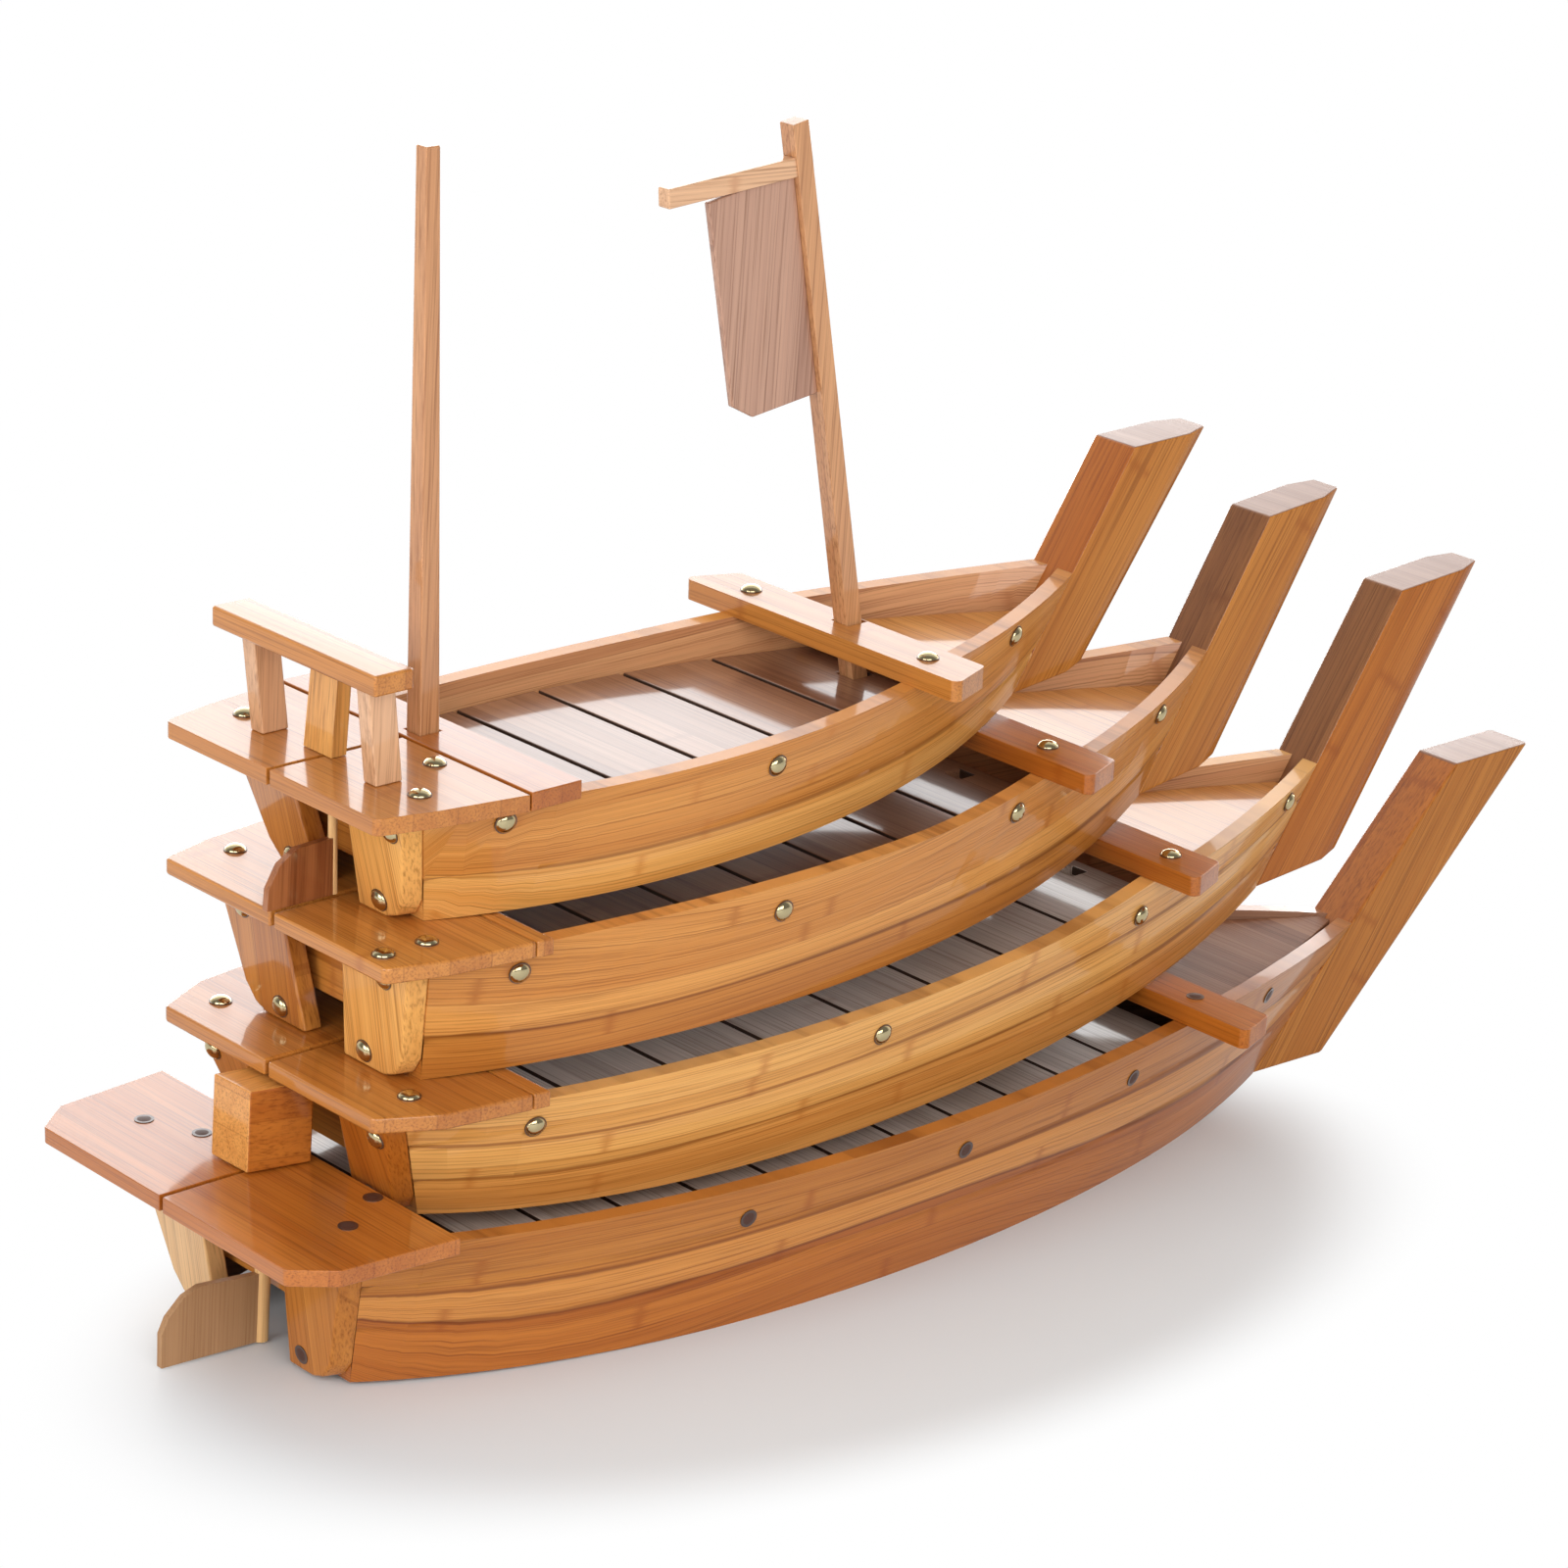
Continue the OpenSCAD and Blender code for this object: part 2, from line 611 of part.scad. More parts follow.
// Raked bow post: flush with the planks at its aft face, front corners chamfered
module stem(b, post_z, top, foot, shares, nose_share, chamfer) {
    aft_top = [stem_x(b, post_z), post_z];
    aft_foot = [foot_x(b)[3], foot_z(b)[3]];
    front_top = [top_x(b)[3] + top, post_z * shares[0]];
    front_foot = [foot_x(b)[3] + foot, foot_z(b)[3] * shares[1]];
    ring = function (aft, front) let (
            back = mix(front, aft, chamfer / norm(front - aft)),
            w = stem_half_w,
            nose = w * nose_share)
        [[aft[0], -w, aft[1]], [back[0], -w, back[1]], [front[0], -nose, front[1]],
            [front[0], nose, front[1]], [back[0], w, back[1]], [aft[0], w, aft[1]]];
    loft([ring(aft_foot, front_foot), ring(aft_top, front_top)]);
}

// Outline with its corners rounded: each corner is cut by an arc
function arc_points(p, a, c, r) = let (
        u = (a - p) / norm(a - p),
        v = (c - p) / norm(c - p),
        half = acos(u * v) / 2,
        reach = r / tan(half),
        mid = p + (u + v) / norm(u + v) * r / sin(half),
        s = p + u * reach - mid,
        e = p + v * reach - mid)
    [for (i = [0 : 4]) let (d = mix(s, e, i / 4)) mid + d / norm(d) * r];
function rounded(points, r) = let (n = len(points))
    [for (i = [0 : n - 1]) each
        arc_points(points[i], points[(i + n - 1) % n], points[(i + 1) % n], r)];

// Port half outline of a stern deck; its side swells at the shares of length and breadth
module deck_half(aft_y, front_y, length, swell_shares) {
    mid_x = length * swell_shares[0];
    mid_y = mix(aft_y, front_y, swell_shares[1]);
    linear_extrude(deck_t) polygon(concat(
        [[0, deck_slot / 2], [length, deck_slot / 2]],
        [[length, front_y]],
        [[mid_x, mid_y]],
        arc_points([0, aft_y], [mid_x, mid_y], [0, 0], corner_r)));
}

module stern_deck(b, aft_y, front_y, length, swell_shares, stick_x = 0, stick_r = 0) {
    difference() {
        rotate([0, -slope_of(b), 0]) translate([0, 0, -deck_t]) for (side = [0, 1])
            mirror([0, side, 0]) deck_half(aft_y, front_y, length, swell_shares);
        if (stick_r > 0) translate([stick_x, 0, -deck_t * 2])
            cylinder(r = stick_r, h = deck_t * 3, $fn = 32);
    }
}

module thwart(b, half_y, mast, hole) {
    z = thwart_of(b)[1] - thwart_t;
    x = thwart_of(b)[0];
    nip = thwart_w * 0.4;
    difference() {
        translate([0, 0, z]) linear_extrude(thwart_t) polygon(rounded([
            [x, -half_y], [x + thwart_w, nip - half_y], [x + thwart_w, half_y - nip], [x, half_y]],
            corner_r));
        translate([mast, 0, z]) square_bar(hole, thwart_t);
    }
}

// Strip of wood across the boat ahead of the deck
module batten(x, w, half_y, flare, rise) {
    translate([0, 0, -deck_t]) linear_extrude(deck_t + rise)
        polygon([[x, -half_y], [x + w, -half_y - flare], [x + w, half_y + flare], [x, half_y]]);
}

// Square upright bar that cuts a hole from just below to well above
module square_bar(w, h) {
    translate([-w / 2, -w / 2, -cut]) cube([w, w, h + 2 * cut]);
}

// Domed nail head standing on its base
module nail() {
    rotate_extrude($fn = 24) polygon([[0, 0], [nail_r, 0], [nail_r * 0.93, nail_h * 0.42],
        [nail_r * 0.7, nail_h * 0.78], [nail_r * 0.36, nail_h * 0.96], [0, nail_h]]);
}

module plug() {
    cylinder(r = plug_r, h = plug_h, $fn = 24);
}

// Point of the port plank's outer face, as cut, at a share of the height above its grooves
function face(b, t, share) = let (
        low = foot(b, t),
        top = gunwale(b, t),
        grooves = grooves_of(b),
        g = grooves[len(grooves) - 1] + groove_half_w / (top.z - low.z),
        zone = top.x < seat_of(b) ? 0 : top.x < thwart_of(b)[0] ? 1 : 3)
    mix(mix(low, top, g), [top.x, top.y, cut_z(b, t, zone)], (share - g) / (1 - g));

// A head on that face at a length and a share of the height; the face's direction comes from
// a second point a small share of the length further on
near_share = 0.001;
module on_plank(b, x, share) {
    t = t_side(b, x, mix(foot(b, t_at(top_x(b), x)).z, gunwale(b, t_at(top_x(b), x)).z, share));
    p = face(b, t, share);
    n = cross(face(b, t, 1) - p, face(b, t + near_share, share) - p);
    dir = n / norm(n);
    translate(p + dir * fit / 2) rotate([0, acos(dir.z), atan2(dir.y, dir.x)]) children();
}

// Heads on the aft face of the port transom
module on_transom(b, y, z) {
    run = transom_t * sqrt(1 + stern_rake(b) ^ 2);
    translate([stern_x(b, z) - run, y, z]) rotate([0, -90 - atan(stern_rake(b)), 0]) children();
}

// All heads of one boat: on the deck as listed; thwart, sides and transoms on both sides alike
module heads(b, deck_x, deck_y, half_y, deck_shares, thwart_share, side_shares, transom_shares, h) {
    rotate([0, -slope_of(b), 0]) for (p = deck_shares)
        translate([deck_x * p[0], deck_y * p[1], 0]) children();
    for (side = [0, 1]) mirror([0, side, 0]) {
        translate([thwart_of(b)[0] + thwart_w / 2, half_y * thwart_share, thwart_of(b)[1]]) children();
        for (p = side_shares) on_plank(b, top_x(b)[3] * p[0], p[1]) children();
        on_transom(b, top_y(b)[0] * transom_shares[0], -deck_t - h * 2.4) children();
        on_transom(b, top_y(b)[0] * transom_shares[1], foot_z(b)[0] + h * 1.6) children();
    }
}

// Frames of the boats in the set
module in_base() {
    translate([-set_mid_x, 0, -base_floor_z]) children();
}

module in_large() {
    in_base() translate([large_nest_x, 0, large_nest_z]) rotate([0, -nest_pitch, 0]) children();
}

module in_medium() {
    in_large() translate([medium_nest_x, 0, medium_nest_z]) children();
}

module in_small() {
    in_medium() translate([small_nest_x, 0, small_nest_z]) children();
}

// Masts: holes with clearance, and the flag mast's place on its leaning axis
hole_w = flag_mast_w + 2 * mast_fit;
mast_hole_w = mast_w + 2 * mast_fit;
flag_x = small_thwart_x + thwart_w - hole_w * 0.72;
flag_foot_z = nest_gap + flag_mast_w / 2 * sin(flag_lean) - floor_drop - socket_d;
flag_foot_x = flag_x + (small_thwart_z - flag_foot_z) * tan(flag_lean);
flag_hole_w = hole_w + thwart_t * tan(flag_lean);
// Mast holes of the other boats: in the middle of the thwart, and where a leaning mast would
// meet the floor
function hole_x(b) = thwart_of(b)[0] + thwart_w / 2;
function socket_x(b) = hole_x(b) + (thwart_of(b)[1] + floor_drop) * tan(flag_lean);

// Half gaps between the transom boards at the top and at the foot
small_gap_top = 23;
small_gap_foot = 15.6;
medium_gap_top = 25;
medium_gap_foot = 15.6;
large_gap_top = 39;
large_gap_foot = 26.5;
base_gap_top = 36;
base_gap_foot = 30;

// Heights of the cross beams and drops of the bow decks below the thwart seats
beam_h = 24;
base_beam_h = 30;
bow_drop = 8;

// Swell of the decks' sides: where, as a share of the length, and how far towards the front breadth
small_swell_shares = [0.4, 0.5];
medium_swell_shares = [0.4, 0.6];
large_swell_shares = [0.4, 0.7];
base_swell_shares = [0.235, 0.735];

// Heads as shares: decks, of their length and front half-breadth; thwarts, of their half-length;
// sides, of the hull's length and of the height there; transoms, of the stern's half-breadth
small_deck_head_shares = [[0.465, 0.7], [0.465, -0.7], [0.873, -0.399]];
small_thwart_head_share = 0.6415;
small_side_head_shares = [[0.159, 0.8], [0.4746, 0.79], [0.865, 0.86]];
small_transom_head_shares = [0.789, 0.493];
medium_deck_head_shares = [[0.432, 0.736], [0.463, -0.7095], [0.132, -0.7133]];
medium_thwart_head_share = 0.605;
medium_side_head_shares = [[0.13, 0.8], [0.3766, 0.79], [0.6574, 0.84], [0.8992, 0.87]];
medium_transom_head_shares = [0.707, 0.422];
large_deck_head_shares = [[0.32, 0.674], [0.35, -0.655], [0.4, -0.73]];
large_thwart_head_share = 0.697;
large_side_head_shares = [[0.1297, 0.76], [0.4226, 0.8], [0.7127, 0.82], [0.947, 0.87]];
large_transom_head_shares = [0.83, 0.56];
base_deck_head_shares = [[0.515, 0.638], [0.67, 0.39], [0.93, -0.507], [0.599, -0.655]];
base_thwart_head_share = 0.62;
base_side_head_shares = [[0.3243, 0.77], [0.5048, 0.78], [0.6767, 0.79], [0.8547, 0.86]];
base_transom_head_shares = [0.679, 0.46];

// Rudders: outline of the board behind the stick in shares of its length and height, top first,
// and corners of the base boat's head block in shares of its depth and width
small_board_shares = [[0, 1], [0.557, 0.972], [0.81, 0.757], [0.975, 0.375], [1, 0], [0, 0]];
base_board_shares = [[0, 0.949], [0.639, 1], [0.79, 0.909], [0.941, 0.673], [1, 0.462], [0.992, 0],
    [0, 0]];
base_head_shares = [[-0.503, 0.634], [-0.473, -0.16], [0.497, -0.366], [0.467, 0.427]];
small_head_shares = [[-0.64, -0.286], [0.36, -0.286], [0.36, 0.714], [-0.64, 0.714]];
// Size of the small block's top as a share of its foot, and how far the top leans ahead
small_head_top_share = 0.95;
small_head_lean = 4;
// Share of the blocks' height that the sticks reach
head_bore_share = 0.5;
// Gaps under the rudders, and between the blocks and the decks
heel_gap = 1.2;
head_lift = 0.3;
base_head_lift = 0.9;

// Base boat
module base_port_plank() color(amber) in_base() port_plank(base, base_floor_z);
module base_starboard_plank() color(amber) in_base() starboard_plank(base, base_floor_z);
module base_transom_boards() color(russet) in_base() transoms(base, base_gap_top, base_gap_foot);
module base_cross_beam() color(amber) in_base() beam(base, base_beam_h);
module base_floor_slats() color(honey) in_base()
    slats(base, base_floor_x, base_slat_pitch, socket_x(base), hole_w);
module base_floor_rails() color(amber) in_base()
    rails(base, base_floor_x, slats_end(socket_x(base), hole_w));
module base_bow_deck() color(honey) in_base() bow_deck(base, bow_drop);
module base_stem_post() color(amber) in_base()
    stem(base, base_post_z, base_post_top, base_post_foot, base_post_shares, base_nose_share,
        base_chamfer);
module base_stern_deck() color(amber) in_base()
    stern_deck(base, base_deck_aft_y, base_deck_front_y, base_deck_x, base_swell_shares,
        base_stick_x, base_stick_r + stick_fit);
module base_thwart() color(amber) in_base()
    thwart(base, base_thwart_y, hole_x(base), hole_w);
module base_plugs() color(walnut) in_base()
    heads(base, base_deck_x, base_deck_front_y, base_thwart_y, base_deck_head_shares,
        base_thwart_head_share, base_side_head_shares, base_transom_head_shares, plug_r) plug();
module base_rudder_board() color(ply) in_base()
    rudder_board(base_board_shares, base_rudder_len, base_rudder_h, base_rudder_t, base_stick_x,
        base_stick_r, base_floor_z + heel_gap);
module base_rudder_stick() color(ply) in_base()
    rudder_stick(base_stick_x, base_stick_r, base_floor_z + heel_gap, base_head_z);
module base_rudder_block() color(honey) in_base() difference() {
    loft([for (s = [0, 1]) [for (p = base_head_shares) let (x = base_stick_x + base_head_d * p[0])
        [x, base_head_w * p[1], mix(base_head_lift, base_head_z, s) + x * tan(base_deck_slope)]]]);
    rudder_stick(base_stick_x, base_stick_r, -deck_t, base_head_z);
}

// Large boat
module large_port_plank() color(honey) in_large() port_plank(large);
module large_starboard_plank() color(honey) in_large() starboard_plank(large);
module large_transom_boards() color(amber) in_large() transoms(large, large_gap_top, large_gap_foot);
module large_cross_beam() color(amber) in_large() beam(large, beam_h);
module large_floor_slats() color(honey) in_large()
    slats(large, large_floor_x, large_slat_pitch, socket_x(large), hole_w);
module large_floor_rails() color(amber) in_large()
    rails(large, large_floor_x, slats_end(socket_x(large), hole_w));
module large_bow_deck() color(honey) in_large() bow_deck(large, bow_drop);
module large_stem_post() color(honey) in_large()
    stem(large, large_post_z, large_post_top, large_post_foot, large_post_shares, stem_nose_share,
        stem_chamfer);
module large_stern_deck() color(honey) in_large()
    stern_deck(large, large_deck_aft_y, large_deck_front_y, large_deck_x, large_swell_shares);
module large_deck_batten() color(russet) in_large()
    batten(large_deck_x + strip_gap, strip_w, large_deck_front_y, 1, 0);
module large_thwart() color(amber) in_large()
    thwart(large, large_thwart_y, hole_x(large), hole_w);
module large_nails() color(brass) in_large()
    heads(large, large_deck_x, large_deck_front_y, large_thwart_y, large_deck_head_shares,
        large_thwart_head_share, large_side_head_shares, large_transom_head_shares, nail_r) nail();

// Medium boat
module medium_port_plank() color(amber) in_medium() port_plank(medium);
module medium_starboard_plank() color(amber) in_medium() starboard_plank(medium);
module medium_transom_boards() color(amber) in_medium()
    transoms(medium, medium_gap_top, medium_gap_foot);
module medium_cross_beam() color(amber) in_medium() beam(medium, beam_h);
module medium_floor_slats() color(honey) in_medium()
    slats(medium, medium_floor_x, medium_slat_pitch, socket_x(medium), hole_w);
module medium_floor_rails() color(amber) in_medium()
    rails(medium, medium_floor_x, slats_end(socket_x(medium), hole_w));
module medium_bow_deck() color(honey) in_medium() bow_deck(medium, bow_drop);
module medium_stem_post() color(amber) in_medium()
    stem(medium, medium_post_z, medium_post_top, medium_post_foot, medium_post_shares, stem_nose_share,
        stem_chamfer);
module medium_stern_deck() color(amber) in_medium()
    stern_deck(medium, medium_deck_aft_y, medium_deck_front_y, medium_deck_x,
        medium_swell_shares);
module medium_deck_batten() color(russet) in_medium()
    batten(medium_deck_x + strip_gap, strip_w, medium_deck_front_y, 1, 0);
module medium_thwart() color(russet) in_medium()
    thwart(medium, medium_thwart_y, hole_x(medium), hole_w);
module medium_nails() color(brass) in_medium()
    heads(medium, medium_deck_x, medium_deck_front_y, medium_thwart_y, medium_deck_head_shares,
        medium_thwart_head_share, medium_side_head_shares, medium_transom_head_shares, nail_r) nail();

// Small boat
module small_port_plank() color(honey) in_small() port_plank(small);
module small_starboard_plank() color(honey) in_small() starboard_plank(small);
module small_transom_boards() color(amber) in_small() transoms(small, small_gap_top, small_gap_foot);
module small_cross_beam() color(amber) in_small() beam(small, beam_h);
module small_floor_slats() color(honey) in_small()
    slats(small, small_floor_x, small_slat_pitch, flag_foot_x, flag_hole_w);
module small_floor_rails() color(amber) in_small()
    rails(small, small_floor_x, slats_end(flag_foot_x, flag_hole_w));
module small_bow_deck() color(honey) in_small() bow_deck(small, bow_drop);
module small_stem_post() color(amber) in_small()
    stem(small, small_post_z, small_post_top, small_post_foot, small_post_shares, stem_nose_share,
        stem_chamfer);
module small_stern_deck() color(amber) in_small()
    stern_deck(small, small_deck_aft_y, small_deck_front_y, small_deck_x, small_swell_shares,
        small_stick_x, small_stick_r + stick_fit);
module small_deck_batten() color(russet) in_small() difference() {
    batten(small_deck_x + batten_gap, batten_w, small_deck_front_y, 0, batten_proud);
    translate([mast_x, 0, -deck_t]) square_bar(mast_hole_w, deck_t);
}
module small_thwart() color(amber) in_small()
    thwart(small, small_thwart_y, flag_x + thwart_t / 2 * tan(flag_lean), flag_hole_w);
module small_nails() color(brass) in_small()
    heads(small, small_deck_x, small_deck_front_y, small_thwart_y, small_deck_head_shares,
        small_thwart_head_share, small_side_head_shares, small_transom_head_shares, nail_r) nail();

// Roof bench of the small boat: a plank on two legs splayed and raked aft
leg_x = 25.5;
leg_w = 15.5;
leg_y = 40;
leg_t = 10;
leg_rake = 5;
leg_splay = 0.5;
module small_roof_plank() color(russet) in_small() translate([roof_x, -roof_half_y, roof_z])
    cube([roof_w, 2 * roof_half_y, roof_t]);
module small_roof_legs() color(amber) in_small() for (side = [0, 1]) mirror([0, side, 0])
    loft([for (s = [0, 1]) let (
            x = leg_x - leg_rake * s,
            y = leg_y + leg_splay * s,
            z = roof_z * s)
        [[x, y, z], [x + leg_w, y, z], [x + leg_w, y + leg_t, z], [x, y + leg_t, z]]]);

// Stern mast, tapering, standing on the floor through the batten
module small_stern_mast() color(amber) in_small() loft([for (s = [0, 1]) let (
        w = mix(mast_w, mast_top_w, s) / 2,
        z = mix(-floor_drop, mast_z, s))
    [[mast_x - w, -w, z], [mast_x + w, -w, z], [mast_x + w, w, z], [mast_x - w, w, z]]]);

// Flag mast with its yard and sail, in the frame of its leaning axis
module on_flag_mast() {
    in_small() translate([flag_foot_x, 0, flag_foot_z]) rotate([0, -flag_lean, 0]) children();
}
flag_len = (flag_mast_z - flag_foot_z) / cos(flag_lean);
yard_top = (yard_z - flag_foot_z) / cos(flag_lean);
yard_tilt = 6.5;
module yard_bar(grow) {
    translate([flag_mast_w / 2, 0, yard_top - yard_h]) rotate([0, yard_tilt, 0])
        translate([-yard_len - flag_mast_w, -yard_t / 2 - grow, -grow])
            cube([yard_len + flag_mast_w, yard_t + 2 * grow, yard_h + 2 * grow]);
}
module small_flag_mast() color(amber) on_flag_mast() difference() {
    translate([-flag_mast_w / 2, -flag_mast_w / 2, 0]) cube([flag_mast_w, flag_mast_w, flag_len]);
    yard_bar(0);
}
module small_yard() color(amber) on_flag_mast() intersection() {
    yard_bar(0);
    translate([-yard_len * 2, -yard_len, 0])
        cube([yard_len * 2 + flag_mast_w / 2, yard_len * 2, flag_len]);
}

// Board that stands for the sail: tucked under the yard, clipped at its lower corner
sail_clip = 12;
module small_sail() color(russet) on_flag_mast() difference() {
    translate([-flag_mast_w / 2, sail_t / 2, yard_top - yard_h * 0.5]) rotate([90, 0, 0])
        linear_extrude(sail_t) polygon([[-sail_w, 0], [-sail_w, -sail_h],
            [sail_clip - sail_w, -sail_h - sail_clip * 0.8],
            [0, -sail_h - sail_clip * 0.8 - sail_w * tan(yard_tilt) * 0.3], [0, 0]]);
    yard_bar(0);
}

// Rudders: a board on a stick that turns in the slot of the deck, under a head block
module rudder_stick(x, r, z, head_z) {
    translate([x, 0, z]) cylinder(r = r, h = head_z * head_bore_share - z, $fn = 32);
}
module rudder_board(shares, length, height, t, x, r, z) {
    difference() {
        translate([0, t / 2, 0]) rotate([90, 0, 0]) linear_extrude(t)
            polygon([for (p = shares) [x - length * p[0], z + height * p[1]]]);
        translate([x, 0, z - height]) cylinder(r = r, h = height * 3, $fn = 32);
    }
}
module small_rudder_board() color(russet) in_small()
    rudder_board(small_board_shares, small_rudder_len, small_rudder_h, small_rudder_t,
        small_stick_x, small_stick_r, heel_gap - small_nest_z);
module small_rudder_stick() color(ply) in_small()
    rudder_stick(small_stick_x, small_stick_r, heel_gap - small_nest_z, small_head_z);
module small_rudder_block() color(amber) in_small() difference() {
    loft([for (s = [0, 1]) [for (p = small_head_shares * mix(1, small_head_top_share, s))
        [small_stick_x + small_head_d * p[0] + small_head_lean * s, small_head_w * p[1],
            mix(head_lift, small_head_z, s)]]]);
    rudder_stick(small_stick_x, small_stick_r, -deck_t, small_head_z);
}

base_port_plank();
base_starboard_plank();
base_transom_boards();
base_cross_beam();
base_floor_slats();
base_floor_rails();
base_bow_deck();
base_stem_post();
base_stern_deck();
base_thwart();
base_plugs();
base_rudder_board();
base_rudder_stick();
base_rudder_block();
large_port_plank();
large_starboard_plank();
large_transom_boards();
large_cross_beam();
large_floor_slats();
large_floor_rails();
large_bow_deck();
large_stem_post();
large_stern_deck();
large_deck_batten();
large_thwart();
large_nails();
medium_port_plank();
medium_starboard_plank();
medium_transom_boards();
medium_cross_beam();
medium_floor_slats();
medium_floor_rails();
medium_bow_deck();
medium_stem_post();
medium_stern_deck();
medium_deck_batten();
medium_thwart();
medium_nails();
small_port_plank();
small_starboard_plank();
small_transom_boards();
small_cross_beam();
small_floor_slats();
small_floor_rails();
small_bow_deck();
small_stem_post();
small_stern_deck();
small_deck_batten();
small_thwart();
small_nails();
small_roof_plank();
small_roof_legs();
small_rudder_block();
small_rudder_board();
small_rudder_stick();
small_stern_mast();
small_flag_mast();
small_yard();
small_sail();
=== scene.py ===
# %% [markdown]
# # A nested set of bamboo serving boats
# Four boat-shaped trays made of lacquered bamboo boards stand in one another. The boards are
# already modelled as exact solids. This scene softens their edges, gives each board its own
# grain, makes the heads of the nails and pegs, and lights the set as in a product photograph.

# %% Load the solids
import json
import math
import bmesh
import bpy
import numpy as np
from mathutils import Matrix, Vector


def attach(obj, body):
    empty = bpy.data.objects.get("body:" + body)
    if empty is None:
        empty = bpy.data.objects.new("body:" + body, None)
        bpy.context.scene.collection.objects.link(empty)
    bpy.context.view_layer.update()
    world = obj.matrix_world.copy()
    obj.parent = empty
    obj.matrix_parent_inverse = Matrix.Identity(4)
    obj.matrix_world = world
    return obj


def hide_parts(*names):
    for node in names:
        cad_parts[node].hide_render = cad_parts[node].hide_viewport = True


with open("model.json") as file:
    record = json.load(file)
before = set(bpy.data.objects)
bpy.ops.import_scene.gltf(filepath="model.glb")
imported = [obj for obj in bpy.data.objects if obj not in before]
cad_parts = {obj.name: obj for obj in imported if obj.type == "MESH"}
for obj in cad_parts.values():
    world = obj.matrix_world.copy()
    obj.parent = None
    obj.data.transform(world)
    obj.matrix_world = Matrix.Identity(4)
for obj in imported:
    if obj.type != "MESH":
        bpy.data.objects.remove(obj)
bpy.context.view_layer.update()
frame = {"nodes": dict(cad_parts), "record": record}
nodes = frame["nodes"]

# %% Put an object in the scene


def in_scene(name, data):
    """A new object that holds data."""
    obj = bpy.data.objects.new(name, data)
    bpy.context.scene.collection.objects.link(obj)
    return obj


# %% [markdown]
# ## The camera
# The photograph is taken from above the stern on the starboard side with a long lens. The boats
# run away to the right, so the camera looks along the hull from behind. The camera was matched
# to the small boat, so its aim is written in metres in that boat's own frame. The frame starts
# at the aft end of the boat's deck and is pitched up at the bow, as the three upper boats are.

# %% Camera
PITCH = math.radians(2.75)
DECK_ORIGIN = Vector((-0.42838, 0.0, 0.29517))
AZIMUTH, ELEVATION, ROLL = (math.radians(a) for a in (41.90, 20.02, 2.08))
AIM = Vector((0.323724, 0.0, -0.076944))
DISTANCE = 2.493384
LENS_MM = 111.40335
SENSOR_MM = 36
VIEW_DEPTH = 50


def set_camera():
    """Looks from the matched place, with the photograph's slight roll."""
    forward = Vector((math.sin(AZIMUTH) * math.cos(ELEVATION),
                      math.cos(AZIMUTH) * math.cos(ELEVATION), -math.sin(ELEVATION)))
    right = Vector((math.cos(AZIMUTH), -math.sin(AZIMUTH), 0))
    up = right.cross(forward)
    roll = Matrix.Rotation(-ROLL, 3, forward)
    tilt = Matrix.Rotation(-PITCH, 3, "Y")
    axes = Matrix([tilt @ roll @ v for v in (right, up, -forward)]).transposed()
    eye = tilt @ (AIM - forward * DISTANCE) + DECK_ORIGIN
    data = bpy.data.cameras.new("camera")
    data.sensor_width = SENSOR_MM
    data.sensor_fit = "HORIZONTAL"
    data.lens = LENS_MM
    data.clip_end = VIEW_DEPTH
    camera = in_scene("camera", data)
    camera.matrix_world = Matrix.Translation(eye) @ axes.to_4x4()
    bpy.context.scene.camera = camera
    return eye


eye = set_camera()
print("eye", tuple(round(v, 3) for v in eye), "lens", round(LENS_MM, 2))

# %% [markdown]
# ## Bamboo
# Bamboo board is glued up from strips about 20 mm wide. Each strip is one culm's wall: straight
# fine fibres along its length, a tone of its own, and a darker node mark every 19 cm or so.
# The pattern is a stack of long strips: the fibres run along X of the pattern, the number of a
# strip comes from its height in the stack, and a random value for each number sets its tone and
# the place of its nodes. The lacquer is a clear glossy coat over a nearly matt board.

# %% A small helper for node trees


